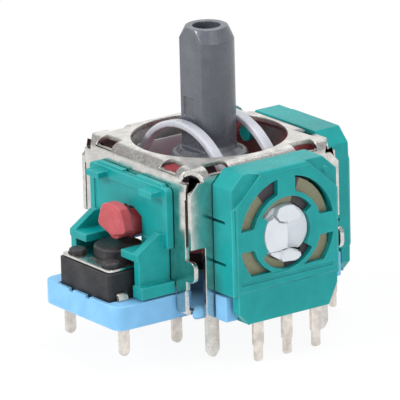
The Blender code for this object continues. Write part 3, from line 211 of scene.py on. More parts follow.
PLANES = {
    "XY": Matrix(((1, 0, 0), (0, 1, 0), (0, 0, 1))).to_4x4(),
    "XZ": Matrix(((1, 0, 0), (0, 0, -1), (0, 1, 0))).to_4x4(),
    "YZ": Matrix(((0, 0, 1), (1, 0, 0), (0, 1, 0))).to_4x4(),
}


def plate(outlines, low, high, plane="XY"):
    """A flat outline, with inner outlines as holes, between two levels across its plane."""
    curve = bpy.data.curves.new("plate", "CURVE")
    curve.dimensions = "2D"
    curve.fill_mode = "BOTH"
    curve.extrude = abs(high - low) / 2
    for points in outlines:
        spline = curve.splines.new("POLY")
        spline.points.add(len(points) - 1)
        for point, (u, v) in zip(spline.points, points):
            point.co = (u, v, 0.0, 1.0)
        spline.use_cyclic_u = True
    drawn = bpy.data.objects.new("plate", curve)
    bpy.context.scene.collection.objects.link(drawn)
    mesh = evaluated_mesh(drawn)
    bpy.data.objects.remove(drawn)
    bpy.data.curves.remove(curve)
    bm = bmesh.new()
    bm.from_mesh(mesh)
    bpy.data.meshes.remove(mesh)
    bmesh.ops.remove_doubles(bm, verts=bm.verts, dist=0.0001)
    middle = (low + high) / 2
    across = -middle if plane == "XZ" else middle
    bmesh.ops.translate(bm, vec=(0.0, 0.0, across), verts=bm.verts)
    bmesh.ops.transform(bm, matrix=PLANES[plane], verts=bm.verts)
    return work_object("plate", bm)


def turned(profile, steps=72):
    """A closed profile of (radius, height) pairs turned about the stick's axis."""
    bm = bmesh.new()
    points = [bm.verts.new((radius, 0.0, height)) for radius, height in profile]
    edges = [bm.edges.new(pair) for pair in zip(points, points[1:])]
    bmesh.ops.spin(
        bm,
        geom=points + edges,
        cent=(0, 0, 0),
        axis=(0, 0, 1),
        angle=math.tau,
        steps=steps,
        use_merge=True,
        use_duplicate=False,
    )
    bmesh.ops.remove_doubles(bm, verts=bm.verts, dist=0.0005)
    return work_object("turned", bm)


def circle(radius, steps=16):
    """Points round a circle, with the first one again at the end."""
    angles = [math.radians(360.0 * step / steps) for step in range(steps + 1)]
    return [(radius * math.cos(angle), radius * math.sin(angle)) for angle in angles]


def mirrored(half):
    """A closed outline from its +u half, listed top to bottom."""
    return half + [(-u, v) for u, v in reversed(half)]


def both_sides(span):
    """A span on the positive side of the middle, and its mirror image."""
    low, high = span
    return [(low, high), (-high, -low)]


def cad_solid(node):
    """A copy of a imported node's triangles, joined into one closed shape, in millimetres."""
    bm = bmesh.new()
    bm.from_mesh(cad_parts[node].data)
    bmesh.ops.scale(bm, vec=(1 / MM,) * 3, verts=bm.verts)
    bmesh.ops.remove_doubles(bm, verts=bm.verts, dist=0.0002)
    return work_object(node + "_copy", bm)


def crisp(node, width):
    """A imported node's shape with its edges rounded."""
    return crisp_edges(cad_solid(node), width)


# Edges shorter than this share of the rounding go before it
SHORT_SHARE = 0.4


def crisp_edges(obj, width):
    """Rounds the edges on few faces, so that flat faces stay flat."""
    bm = bmesh.new()
    bm.from_mesh(obj.data)
    flat = math.radians(FLAT_ANGLE)
    bmesh.ops.dissolve_limit(bm, angle_limit=flat, verts=bm.verts, edges=bm.edges)
    bmesh.ops.dissolve_degenerate(bm, dist=width * SHORT_SHARE, edges=bm.edges)
    bm.to_mesh(obj.data)
    bm.free()
    return round_edges(obj, width)


# Ways to change a shape


def evaluated_mesh(obj):
    """A new mesh with the result of the object's modifiers."""
    bpy.context.view_layer.update()
    return bpy.data.meshes.new_from_object(
        obj.evaluated_get(bpy.context.evaluated_depsgraph_get())
    )


def settle(obj):
    """Turns the result of the modifiers into the object's own plain mesh."""
    mesh = evaluated_mesh(obj)
    obj.modifiers.clear()
    obj.data = mesh
    return obj


def combine(body, operation, tools):
    """Works each tool into the body and removes it."""
    for tool in tools:
        modifier = body.modifiers.new("Combine", "BOOLEAN")
        modifier.operation = operation
        modifier.solver = "EXACT"
        modifier.object = tool
        settle(body)
        bpy.data.objects.remove(tool)
    return body


def cut(body, *tools):
    """Takes each tool's shape out of the body."""
    return combine(body, "DIFFERENCE", tools)


def fuse(body, *tools):
    """Adds each tool's shape to the body."""
    return combine(body, "UNION", tools)


def soften(obj, cell, rounds, share):
    """Rounds every edge a little, as moulding does, on even cells, and keeps a share of them."""
    remesh = obj.modifiers.new("Cells", "REMESH")
    remesh.mode = "VOXEL"
    remesh.voxel_size = cell
    remesh.use_smooth_shade = True
    smooth = obj.modifiers.new("Ease", "SMOOTH")
    smooth.factor = 0.5
    smooth.iterations = rounds
    fewer = obj.modifiers.new("Fewer", "DECIMATE")
    fewer.ratio = share
    settle(obj)
    obj.data.shade_smooth()
    return obj


def round_edges(obj, width, segments=3, angle=35.0):
    """Bevels the edges that turn by more than an angle, and keeps the faces between them flat."""
    bevel = obj.modifiers.new("Edges", "BEVEL")
    bevel.width = width
    bevel.segments = segments
    bevel.limit_method = "ANGLE"
    bevel.angle_limit = math.radians(angle)
    bevel.use_clamp_overlap = False
    bevel.miter_outer = "MITER_ARC"
    settle(obj)
    obj.data.shade_smooth()
    obj.data.set_sharp_from_angle(angle=math.radians(CREASE_ANGLE))
    even = obj.modifiers.new("Even", "WEIGHTED_NORMAL")
    even.keep_sharp = True
    return settle(obj)


def dress(work, name, material, body, nodes=(), turn=0.0):
    """Makes a work object a finished piece in metres that rides on a body."""
    mesh = work.data.copy()
    mesh.name = name
    mesh.transform(Matrix.Rotation(turn, 4, "Z") @ Matrix.Scale(MM, 4))
    mesh.materials.clear()
    mesh.materials.append(material)
    piece = bpy.data.objects.new(name, mesh)
    bpy.context.scene.collection.objects.link(piece)
    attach(piece, body)
    if nodes:
        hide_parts(*nodes)
    return piece


def drop(*works):
    """Removes work objects that are no longer needed."""
    for work in works:
        bpy.data.objects.remove(work)


def paint_node(node, material):
    """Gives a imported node, whose shape is kept, its finish."""
    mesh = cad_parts[node].data
    mesh.materials.clear()
    mesh.materials.append(material)


# Finishes


def linear(tone):
    """A setting's screen colour as the linear values that a shader takes."""
    return tuple(c / 12.92 if c <= 0.04045 else ((c + 0.055) / 1.055) ** 2.4 for c in tone)


def darker(tone, share):
    """A tone mixed with black."""
    return tuple(part - part * share for part in tone)


def paler(tone, share):
    """A tone mixed with white."""
    return tuple(part + (1.0 - part) * share for part in tone)


class Finish:
    """A node material with short calls for the nodes that every finish here uses."""

    def __init__(self, name):
        self.material = bpy.data.materials.new(name)
        self.material.use_nodes = True
        self.tree = self.material.node_tree
        self.shader = self.tree.nodes["Principled BSDF"]
        self.place = self.add("ShaderNodeTexCoord").outputs["Object"]

    def add(self, kind, **values):
        """A new node with some of its options set."""
        node = self.tree.nodes.new(kind)
        for key, value in values.items():
            setattr(node, key, value)
        return node

    def join(self, source, socket):
        """Links an output to an input."""
        self.tree.links.new(source, socket)

    def set(self, **values):
        """Values on the shader's own sockets. An underscore stands for a space in a name."""
        for key, value in values.items():
            self.shader.inputs[key.replace("_", " ")].default_value = value

    def noise(self, grain_mm, detail=3.0, roughness=0.55, stretch=(1.0, 1.0, 1.0)):
        """Noise whose features are about grain_mm across."""
        mapping = self.add("ShaderNodeMapping")
        mapping.inputs["Scale"].default_value = stretch
        self.join(self.place, mapping.inputs["Vector"])
        noise = self.add("ShaderNodeTexNoise")
        noise.inputs["Scale"].default_value = 1.0 / (grain_mm * MM)
        noise.inputs["Detail"].default_value = detail
        noise.inputs["Roughness"].default_value = roughness
        self.join(mapping.outputs["Vector"], noise.inputs["Vector"])
        return noise.outputs["Fac"]

    def spread(self, value, low, high, to_low=0.0, to_high=1.0):
        """A value from one range as a value in another, kept inside it."""
        node = self.add("ShaderNodeMapRange")
        for socket, number in zip(node.inputs[1:5], (low, high, to_low, to_high)):
            socket.default_value = number
        self.join(value, node.inputs["Value"])
        return node.outputs["Result"]

    def maths(self, operation, first, second=0.0):
        """The result of a sum on two values, each a number or a socket."""
        node = self.add("ShaderNodeMath", operation=operation)
        for socket, value in zip(node.inputs, (first, second)):
            if isinstance(value, (int, float)):
                socket.default_value = value
            else:
                self.join(value, socket)
        return node.outputs["Value"]

    def blend(self, share, first, second):
        """Two colours, each a tone or a socket, mixed by a share, which is a socket."""
        node = self.add("ShaderNodeMix", data_type="RGBA")
        sockets = [s for s in node.inputs if s.type == "RGBA"]
        for socket, value in zip(sockets, (first, second)):
            if isinstance(value, tuple):
                socket.default_value = (*linear(value), 1.0)
            else:
                self.join(value, socket)
        self.join(share, node.inputs[0])
        return [s for s in node.outputs if s.type == "RGBA"][0]

    def bump(self, height, depth_mm):
        """Relief of a given depth, on top of the relief that is there."""
        node = self.add("ShaderNodeBump")
        node.inputs["Strength"].default_value = 1.0
        node.inputs["Distance"].default_value = depth_mm * MM
        self.join(height, node.inputs["Height"])
        if self.shader.inputs["Normal"].is_linked:
            self.join(self.shader.inputs["Normal"].links[0].from_socket, node.inputs["Normal"])
        self.join(node.outputs["Normal"], self.shader.inputs["Normal"])

    def rim(self, reach_mm, strength):
        """A share that is strength along edges, within reach_mm of them, and none elsewhere."""
        soft = self.add("ShaderNodeBevel", samples=6)
        soft.inputs["Radius"].default_value = reach_mm * MM
        lean = self.add("ShaderNodeVectorMath", operation="DOT_PRODUCT")
        self.join(soft.outputs["Normal"], lean.inputs[0])
        self.join(self.add("ShaderNodeNewGeometry").outputs["True Normal"], lean.inputs[1])
        return self.spread(lean.outputs["Value"], 0.88, 0.995, strength, 0.0)

    def colour(self, socket):
        """The base colour from a socket."""
        self.join(socket, self.shader.inputs["Base Color"])

    def roughness(self, socket):
        """The roughness from a socket."""
        self.join(socket, self.shader.inputs["Roughness"])


# The skin of moulded pieces: reach and paleness of the painted highlight along edges, sizes of
# clouds and of pits
EDGE_HIGHLIGHT_REACH = 0.11
EDGE_HIGHLIGHT_PALENESS = 0.45
CLOUD_SIZE = 1.6
SKIN_SIZE = 0.045


def moulded(name, tone, rough, clouds, edge, glow=0.0, grain=0.004, shine=0.32):
    """Moulded plastic: faint clouds, edges made paler by a painted highlight, and a fine eroded
    skin.
    """
    made = Finish(name)
    cloud = made.spread(made.noise(CLOUD_SIZE, 4.0), 0.35, 0.65)
    body = made.blend(cloud, darker(tone, clouds), paler(tone, clouds * 0.8))
    # Painted highlight: along the edges the colour is mixed towards a paler tone, as strongly as
    # the edge value asks
    made.colour(made.blend(made.rim(EDGE_HIGHLIGHT_REACH, edge), body, paler(tone, EDGE_HIGHLIGHT_PALENESS)))
    skin = made.noise(SKIN_SIZE, 2.0)
    made.roughness(made.spread(made.noise(0.25, 3.0), 0.3, 0.7, rough - 0.06, rough + 0.08))
    made.bump(skin, grain)
    made.bump(made.noise(0.9, 2.0), grain * 2.5)
    made.set(Specular_IOR_Level=shine)
    if glow:
        made.set(Subsurface_Weight=glow, Subsurface_Radius=(1.0, 0.8, 0.7), Subsurface_Scale=0.0008)
    return made.material


# The levels between which the grain of the frame's flat top sets in, and the painted shade tone of
# its bends
TOP_SKIN = (10.6, 10.98)
BEND_SHADE_TONE = (0.30, 0.29, 0.30)


def folded_metal(name, tone):
    """Tinned steel sheet: grainy on the flat top, with painted shade on the bends, bright on the
    flanges.
    """
    made = Finish(name)
    height = made.add("ShaderNodeSeparateXYZ")
    made.join(made.place, height.inputs["Vector"])
    top = made.spread(height.outputs["Z"], *(level * MM for level in TOP_SKIN))
    grain = made.noise(0.10, 4.0, 0.7)
    blot = made.noise(0.7, 3.0)
    speck = made.noise(0.05, 2.0)
    dull = made.maths("ADD", made.maths("MULTIPLY", grain, 0.6), made.maths("MULTIPLY", blot, 0.4))
    shade = made.blend(made.spread(dull, 0.36, 0.64), darker(tone, 0.20), tone)
    # Painted shade: faces that lean between the flat top and the upright flanges are darkened
    # towards the bend tone, broken up by streaky noise
    facing = made.add("ShaderNodeSeparateXYZ")
    made.join(made.add("ShaderNodeNewGeometry").outputs["Normal"], facing.inputs["Vector"])
    upward = facing.outputs["Z"]
    leaving_side = made.spread(upward, 0.12, 0.35)
    short_of_top = made.spread(upward, 0.90, 0.99, 1.0, 0.0)
    bend = made.maths("MULTIPLY", leaving_side, short_of_top)
    streak = made.noise(0.16, 4.0, 0.7)
    bend = made.maths("MULTIPLY", bend, made.spread(streak, 0.3, 0.7, 0.35, 0.75))
    made.colour(made.blend(bend, shade, BEND_SHADE_TONE))
    calm = made.spread(made.noise(1.3, 3.0), 0.3, 0.7, 0.10, 0.26)
    rough = made.spread(dull, 0.3, 0.7, 0.30, 0.52)
    share = made.add("ShaderNodeMix", data_type="FLOAT")
    made.join(top, share.inputs[0])
    made.join(calm, share.inputs[2])
    made.join(rough, share.inputs[3])
    made.roughness(share.outputs[0])
    made.bump(made.maths("MULTIPLY", grain, made.spread(top, 0.0, 1.0, 0.25, 1.0)), 0.010)
    made.bump(speck, 0.003)
    made.bump(made.noise(2.2, 2.0), 0.02)
    made.set(Metallic=1.0)
    return made.material


def tinned(name, tone, rough):
    """Tinned strip: fine lengthwise rolling marks and dull patches."""
    made = Finish(name)
    marks = made.noise(0.08, 3.0, 0.6, (1.0, 1.0, 0.12))
    patch = made.noise(0.6, 3.0)
    made.colour(made.blend(made.spread(patch, 0.35, 0.65), darker(tone, 0.14), tone))
    made.roughness(made.spread(patch, 0.3, 0.7, rough, rough + 0.16))
    made.bump(marks, 0.006)
    made.set(Metallic=1.0)
    return made.material


# The carbon tracks: the radius between the two, and angles from the top in radians
TRACK_EDGE = 2.72
SPOKE_LEAN = -0.12
SPOKE_REACH = 0.50
INNER_END = 0.32


def printed_board(name, laminate, carbon, turn):
    """Laminate with carbon printed near the top spoke, turned to face a side."""
    made = Finish(name)
    turned_place = made.add("ShaderNodeMapping")
    turned_place.inputs["Rotation"].default_value = (0.0, 0.0, turn)
    turned_place.inputs["Location"].default_value = (0.0, 0.0, -GIMBAL_Z * MM)
    made.join(made.place, turned_place.inputs["Vector"])
    parts = made.add("ShaderNodeSeparateXYZ")
    made.join(turned_place.outputs["Vector"], parts.inputs["Vector"])
    side, up = parts.outputs["Y"], parts.outputs["Z"]
    angle = made.maths("ARCTAN2", side, up)
    flat_place = made.add("ShaderNodeCombineXYZ")
    made.join(side, flat_place.inputs["X"])
    made.join(up, flat_place.inputs["Y"])
    reach = made.add("ShaderNodeVectorMath", operation="LENGTH")
    made.join(flat_place.outputs["Vector"], reach.inputs[0])
    outer = made.spread(reach.outputs["Value"], TRACK_EDGE * MM, (TRACK_EDGE + 0.02) * MM)
    lean = made.maths("ABSOLUTE", made.maths("SUBTRACT", angle, SPOKE_LEAN))
    near_spoke = made.spread(lean, SPOKE_REACH, SPOKE_REACH + 0.02, 1.0, 0.0)
    inner_track = made.spread(angle, INNER_END, INNER_END + 0.02, 1.0, 0.0)
    inner_track = made.maths("SUBTRACT", 1.0, inner_track)
    track = made.maths(
        "ADD",
        made.maths("MULTIPLY", near_spoke, outer),
        made.maths("MULTIPLY", inner_track, made.maths("SUBTRACT", 1.0, outer)),
    )
    fibre = made.noise(0.12, 4.0, 0.7)
    base = made.blend(
        made.spread(fibre, 0.3, 0.7), darker(laminate, 0.12), paler(laminate, 0.06)
    )
    made.colour(made.blend(track, base, carbon))
    made.roughness(made.spread(fibre, 0.3, 0.7, 0.45, 0.65))
    made.bump(fibre, 0.006)
    return made.material


# The edge value of each finish is the strength of its painted edge highlight
MOULDINGS = {
    "teal": ("teal_moulding", {"rough": 0.38, "clouds": 0.05, "edge": 0.5, "glow": 0.05}),
    "blue": ("blue_moulding", {"rough": 0.42, "clouds": 0.05, "edge": 0.35, "glow": 0.10}),
    "stick": ("grey_moulding", {"rough": 0.27, "clouds": 0.06, "edge": 0.25, "shine": 0.7}),
    "red": ("red_moulding", {"rough": 0.36, "clouds": 0.08, "edge": 0.35, "glow": 0.15}),
    "rotor": ("white_moulding", {"rough": 0.40, "clouds": 0.04, "edge": 0.4, "glow": 0.15}),
    "arch": ("milky_moulding", {"rough": 0.30, "clouds": 0.04, "edge": 0.3, "glow": 0.45}),
    "black": ("black_moulding", {"rough": 0.42, "clouds": 0.10, "edge": 0.2, "grain": 0.006}),
}
HIDDEN_STRIPS = {
    "spring": ("spring_wire", (0.74, 0.74, 0.75), 0.20),
    "bronze": ("bronze_strip", (0.86, 0.68, 0.45), 0.25),
}


def make_finish(name):
    """The material for one of the finishes that the operators name."""
    tones = settings().colours
    if name in MOULDINGS:
        title, values = MOULDINGS[name]
        return moulded(title, tuple(getattr(tones, name)), **values)
    if name in HIDDEN_STRIPS:
        return tinned(*HIDDEN_STRIPS[name])
    if name == "tin":
        return tinned("tinned_strip", tuple(tones.tin), 0.30)
    if name == "nickel":
        return folded_metal("folded_nickel_sheet", tuple(tones.nickel))
    turn = -dict(SENSOR_SIDES)[name[-1]]
    return printed_board(name, tuple(tones.laminate), tuple(tones.carbon), turn)


def finish_of(name):
    """A finish by its name, made the first time that it is asked for."""
    for material in bpy.data.materials:
        if material.get("finish") == name:
            return material
    made = make_finish(name)
    made["finish"] = name
    return made


# Repeats and sweeps made by Geometry Nodes


def node_group(name, inputs):
    """An empty geometry group with named inputs: (name, kind of socket, default)."""
    group = bpy.data.node_groups.new(name, "GeometryNodeTree")
    group.interface.new_socket("Geometry", in_out="INPUT", socket_type="NodeSocketGeometry")
    for label, kind, default in inputs:
        socket = group.interface.new_socket(label, in_out="INPUT", socket_type="NodeSocket" + kind)
        if default is not None:
            socket.default_value = default
    group.interface.new_socket("Geometry", in_out="OUTPUT", socket_type="NodeSocketGeometry")
    return group, group.nodes.new("NodeGroupInput"), group.nodes.new("NodeGroupOutput")


def wire_up(tree, *links):
    """Links in a node tree, each as a node, its output, the next node and its input."""
    for node, output, target, socket in links:
        tree.links.new(node.outputs[output], target.inputs[socket])


def close_group(group, outgoing, last, output, given):
    """Ends a group in Realize Instances and Set Material, after the last node's output."""
    realize = group.nodes.new("GeometryNodeRealizeInstances")
    paint = group.nodes.new("GeometryNodeSetMaterial")
    wire_up(
        group,
        (last, output, realize, "Geometry"),
        (realize, "Geometry", paint, "Geometry"),
        (given, "Finish", paint, "Material"),
        (paint, "Geometry", outgoing, "Geometry"),
    )


def run_group(work, group, values):
    """Runs a group on a work object and keeps its result as a plain mesh."""
    modifier = work.modifiers.new(group.name, "NODES")
    modifier.node_group = group
    for item in group.interface.items_tree:
        if item.item_type == "SOCKET" and item.in_out == "INPUT" and item.name in values:
            modifier[item.identifier] = values[item.name]
    return settle(work)


def row_group():
    """Copies of the incoming mesh in a row."""
    group, given, outgoing = node_group(
        "row_of_copies",
        [
            ("Count", "Int", 3),
            ("First", "Vector", None),
            ("Step", "Vector", None),
            ("Finish", "Material", None),
        ],
    )
    line = group.nodes.new("GeometryNodeMeshLine")
    spots = group.nodes.new("GeometryNodeInstanceOnPoints")
    wire_up(
        group,
        (given, "Count", line, "Count"),
        (given, "First", line, "Start Location"),
        (given, "Step", line, "Offset"),
        (line, "Mesh", spots, "Points"),
        (given, "Geometry", spots, "Instance"),
    )
    close_group(group, outgoing, spots, "Instances", given)
    return group


def coil_group():
    """A wire wound on a cylinder. The incoming mesh isn't used."""
    group, given, outgoing = node_group(
        "wound_wire",
        [
            ("Turns", "Float", 3.5),
            ("Radius", "Float", 1.65),
            ("Height", "Float", 1.5),
            ("Wire", "Float", 0.12),
            ("Foot", "Vector", None),
            ("Finish", "Material", None),
        ],
    )
    spiral = group.nodes.new("GeometryNodeCurveSpiral")
    spiral.inputs["Resolution"].default_value = 40
    wire = group.nodes.new("GeometryNodeCurvePrimitiveCircle")
    wire.inputs["Resolution"].default_value = 12
    sweep = group.nodes.new("GeometryNodeCurveToMesh")
    sweep.inputs["Fill Caps"].default_value = True
    shift = group.nodes.new("GeometryNodeTransform")
    wire_up(
        group,
        (given, "Turns", spiral, "Rotations"),
        (given, "Radius", spiral, "Start Radius"),
        (given, "Radius", spiral, "End Radius"),
        (given, "Height", spiral, "Height"),
        (given, "Wire", wire, "Radius"),
        (spiral, "Curve", sweep, "Curve"),
        (wire, "Curve", sweep, "Profile Curve"),
        (sweep, "Mesh", shift, "Geometry"),
        (given, "Foot", shift, "Translation"),
    )
    close_group(group, outgoing, shift, "Geometry", given)
    return group


def rail_group():
    """Two arched rails of rounded section, swept over the gimbal's axis."""
    group, given, outgoing = node_group(
        "arched_rails",
        [
            ("Radius", "Float", 5.975),
            ("Start", "Float", 0.489),
            ("Sweep", "Float", 2.164),
            ("Section width", "Float", 0.46),
            ("Section height", "Float", 0.8),
            ("Rounding", "Float", 0.12),
            ("Oval", "Vector", None),
            ("First", "Vector", None),
            ("Step", "Vector", None),
            ("Finish", "Material", None),
        ],
    )
    path = group.nodes.new("GeometryNodeCurveArc")
    path.inputs["Resolution"].default_value = 96
    section = group.nodes.new("GeometryNodeCurvePrimitiveQuadrilateral")
    rounding = group.nodes.new("GeometryNodeFilletCurve")
    rounding.mode = "POLY"
    rounding.inputs["Count"].default_value = 5
    sweep = group.nodes.new("GeometryNodeCurveToMesh")
    sweep.inputs["Fill Caps"].default_value = True
    oval = group.nodes.new("GeometryNodeTransform")
    stand = group.nodes.new("GeometryNodeTransform")
    stand.inputs["Rotation"].default_value = (math.pi / 2, 0.0, 0.0)
    line = group.nodes.new("GeometryNodeMeshLine")
    line.inputs["Count"].default_value = 2
    spots = group.nodes.new("GeometryNodeInstanceOnPoints")
    wire_up(
        group,
        (given, "Radius", path, "Radius"),
        (given, "Start", path, "Start Angle"),
        (given, "Sweep", path, "Sweep Angle"),
        (given, "Section width", section, "Width"),
        (given, "Section height", section, "Height"),
        (section, "Curve", rounding, "Curve"),
        (given, "Rounding", rounding, "Radius"),
        (path, "Curve", oval, "Geometry"),
        (given, "Oval", oval, "Scale"),
        (oval, "Geometry", sweep, "Curve"),
        (rounding, "Curve", sweep, "Profile Curve"),
        (sweep, "Mesh", stand, "Geometry"),
        (given, "First", line, "Start Location"),
        (given, "Step", line, "Offset"),
        (line, "Mesh", spots, "Points"),
        (stand, "Geometry", spots, "Instance"),
    )
    close_group(group, outgoing, spots, "Instances", given)
    return group


def point_mesh():
    """A work object to run a group on that doesn't use the incoming mesh."""
    bm = bmesh.new()
    bm.verts.new((0.0, 0.0, 0.0))
    return work_object("seed", bm)


# Operators, one for each piece or group of like pieces


class DressSensorHousings(bpy.types.Operator):
    """Moulds the two sensor housings"""

    bl_idname = "analog_stick.sensor_housings"
    bl_label = "Sensor housings"
    bl_options = {"REGISTER", "UNDO"}

    def execute(self, context):
        body = crisp("pot_housing_x", in_mm(settings().sizes.housing_edge))
        teal = finish_of("teal")
        for side, turn in SENSOR_SIDES:
            nodes = ["pot_housing_" + side]
            dress(body, "sensor_housing_" + side, teal, "module", nodes, turn)
        drop(body)
        return {"FINISHED"}


class DressBoards(bpy.types.Operator):
    """Prints the tracks on the sensor boards and brightens the wipers"""

    bl_idname = "analog_stick.boards"
    bl_label = "Boards and wipers"
    bl_options = {"REGISTER", "UNDO"}

    def execute(self, context):
        for side, _ in SENSOR_SIDES:
            paint_node("resistor_board_" + side, finish_of("board_" + side))
            paint_node("wiper_" + side, finish_of("bronze"))
        return {"FINISHED"}


# A rotor's face. Outlines are (y, z) from its centre, depths are places along x.
ROTOR_RADIUS = 1.95
ROTOR_INSIDE = 8.2
ROTOR_FACE = 9.0
BEYOND_FACE = 9.5
RIGHT_HOLLOW = [
    (0.0, 0.68), (0.27, 0.72), (1.17, 0.85), (1.18, 1.14), (0.6, 1.85), (0.6, 2.3), (2.4, 2.3),
    (2.4, -1.9), (1.3, -1.9), (1.2, -1.5), (0.0, -0.85),
]
HOLLOW_LOW = 7.9
# The hollow's slanted floor, as (x, y)
HOLLOW_FLOOR = [(7.8, -0.5), (8.2, -0.5), (8.2, 0.0), (8.68, 1.9), (8.68, 2.5), (7.8, 2.5)]
TOP_GROOVE = [
    (-1.2, 1.4), (-0.67, 0.80), (0.05, 0.64), (0.05, 0.74), (-0.6, 0.92), (-0.9, 1.36),
]
LEFT_NOTCH = [(-1.6, 1.05), (-1.02, 1.28), (-0.88, 1.34), (-0.66, 1.82), (-0.7, 2.2), (-1.6, 2.2)]
LOW_LEDGE = [(-0.02, -0.8), (1.25, -1.45), (1.4, -2.1), (1.12, -1.67), (0.1, -1.17), (-0.02, -1.17)]
FACE_CUTS = ((TOP_GROOVE, 8.6), (LEFT_NOTCH, 8.45), (LOW_LEDGE, 8.72))
BOTTOM_TAB = [
    (-0.55, -1.2), (0.1, -1.17), (1.1, -1.67), (1.14, -1.9), (0.95, -2.05), (0.56, -2.16),
    (-0.45, -2.05), (-0.63, -1.7),
]
TAB_SPAN = (8.5, 9.02)


def face_prism(outline, low, high):
    """A solid on a rotor's face outline, between two places along the rotor's axis."""
    return plate([[(y, GIMBAL_Z + z) for y, z in outline]], low, high, "YZ")


def face_hollow():
    """The hollow right half of the face, deepest at the middle of the rotor."""
    tool = face_prism(RIGHT_HOLLOW, HOLLOW_LOW, BEYOND_FACE)
    return cut(tool, plate([HOLLOW_FLOOR], GIMBAL_Z - 3, GIMBAL_Z + 3))


class DressRotors(bpy.types.Operator):
    """Moulds the two white rotors"""

    bl_idname = "analog_stick.rotors"
    bl_label = "Rotors"
    bl_options = {"REGISTER", "UNDO"}

    def execute(self, context):
        body = cad_solid("rotor_x")
        ends = [(x, 0, GIMBAL_Z) for x in (ROTOR_INSIDE, ROTOR_FACE)]
        fuse(body, rod(ROTOR_RADIUS, *ends, sides=72))
        cut(body, face_hollow())
        for outline, floor in FACE_CUTS:
            cut(body, face_prism(outline, floor, BEYOND_FACE))
        fuse(body, face_prism(BOTTOM_TAB, *TAB_SPAN))
        round_edges(body, in_mm(settings().sizes.rotor_edge), segments=2, angle=40.0)
        white = finish_of("rotor")
        riders = {"x": "arch", "y": "rotor_carrier"}
        for side, turn in SENSOR_SIDES:
            nodes = ["rotor_" + side]
            dress(body, "rotor_white_" + side, white, riders[side], nodes, turn)
        drop(body)
        return {"FINISHED"}


class DressPins(bpy.types.Operator):
    """Lines up the flat tinned pins of the sensors"""

    bl_idname = "analog_stick.pins"
    bl_label = "Sensor pins"
    bl_options = {"REGISTER", "UNDO"}

    def execute(self, context):
        sizes = settings().sizes
        pin = crisp("pot_terminal_x_2", in_mm(sizes.pin_edge))
        pitch = in_mm(sizes.pin_pitch)
        tin = finish_of("tin")
        run_group(
            pin,
            row_group(),
            {"Count": 3, "First": (0, -pitch, 0), "Step": (0, pitch, 0), "Finish": tin},
        )
        for side, turn in SENSOR_SIDES:
            nodes = [f"pot_terminal_{side}_{index}" for index in (1, 2, 3)]
            dress(pin, "sensor_pins_" + side, tin, "module", nodes, turn)
        drop(pin)
        return {"FINISHED"}


# Sheet that the bends leave at the frame's corners: a wing on each end of a side, as (y, z), and
# a block on each end of the sides next to it
CORNER_WING = [(5.1, 8.9), (6.42, 8.9), (6.42, 9.35), (5.75, 10.08), (5.1, 10.08)]
CORNER_BLOCK = (5.1, 6.02)
BLOCK_HEIGHTS = (8.9, 10.02)


class DressFrame(bpy.types.Operator):
    """Folds the sheet-metal frame"""

    bl_idname = "analog_stick.frame"
    bl_label = "Metal frame"
    bl_options = {"REGISTER", "UNDO"}

    def execute(self, context):
        body = cad_solid("frame_cover")
        for sheet in both_sides((FRAME_HALF - SHEET, FRAME_HALF)):
            for sign in (-1, 1):
                wing = [(sign * y, z) for y, z in CORNER_WING]
                side = sorted(sign * x for x in CORNER_BLOCK)
                fuse(body, plate([wing], *sheet, "YZ"), block(side, sheet, BLOCK_HEIGHTS))
        crisp_edges(body, in_mm(settings().sizes.sheet_edge))
        nickel = finish_of("nickel")
        dress(body, "folded_frame", nickel, "module", ["frame_cover"])
        drop(body)
        return {"FINISHED"}


class DressHolder(bpy.types.Operator):
    """Moulds the holder between the frame and the push switch"""

    bl_idname = "analog_stick.holder"
    bl_label = "Switch-side holder"
    bl_options = {"REGISTER", "UNDO"}

    def execute(self, context):
        body = crisp("switch_side_holder", in_mm(settings().sizes.holder_edge))
        nodes = ["switch_side_holder"]
        dress(body, "holder_moulding", finish_of("teal"), "module", nodes)
        drop(body)
        return {"FINISHED"}


class DressBase(bpy.types.Operator):
    """Moulds the base with its switch tray"""

    bl_idname = "analog_stick.base"
    bl_label = "Base and tray"
    bl_options = {"REGISTER", "UNDO"}

    def execute(self, context):
        body = crisp("base_tray", in_mm(settings().sizes.base_edge))
        dress(body, "base_moulding", finish_of("blue"), "module", ["base_tray"])
        drop(body)
        return {"FINISHED"}


# The round rim of the stick's skirt
RIM_RADIUS = 2.44
RIM_HEIGHT = 9.64
RIM_TUBE = 0.3


class DressStick(bpy.types.Operator):
    """Moulds the stick"""

    bl_idname = "analog_stick.stick"
    bl_label = "Stick"
    bl_options = {"REGISTER", "UNDO"}

    def execute(self, context):
        rim = [(RIM_RADIUS + u, RIM_HEIGHT + v) for u, v in circle(RIM_TUBE)]
        body = fuse(cad_solid("lever"), turned(rim))
        soften(body, in_mm(settings().sizes.stick_cell), rounds=2, share=0.3)
        dress(body, "stick_moulding", finish_of("stick"), "stick", ["lever"])
        drop(body)
        return {"FINISHED"}


# The upper arm's rails, swept over the gimbal's axis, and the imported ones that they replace
PACKED_RAILS = ((-5.15, 5.15), (-4, 4), (GIMBAL_Z + 1, 14))
RAIL_RADIUS = 5.975
RAIL_OVAL = (0.975, 1.03, 1.0)
RAIL_START = 28
RAIL_SWEEP = 124


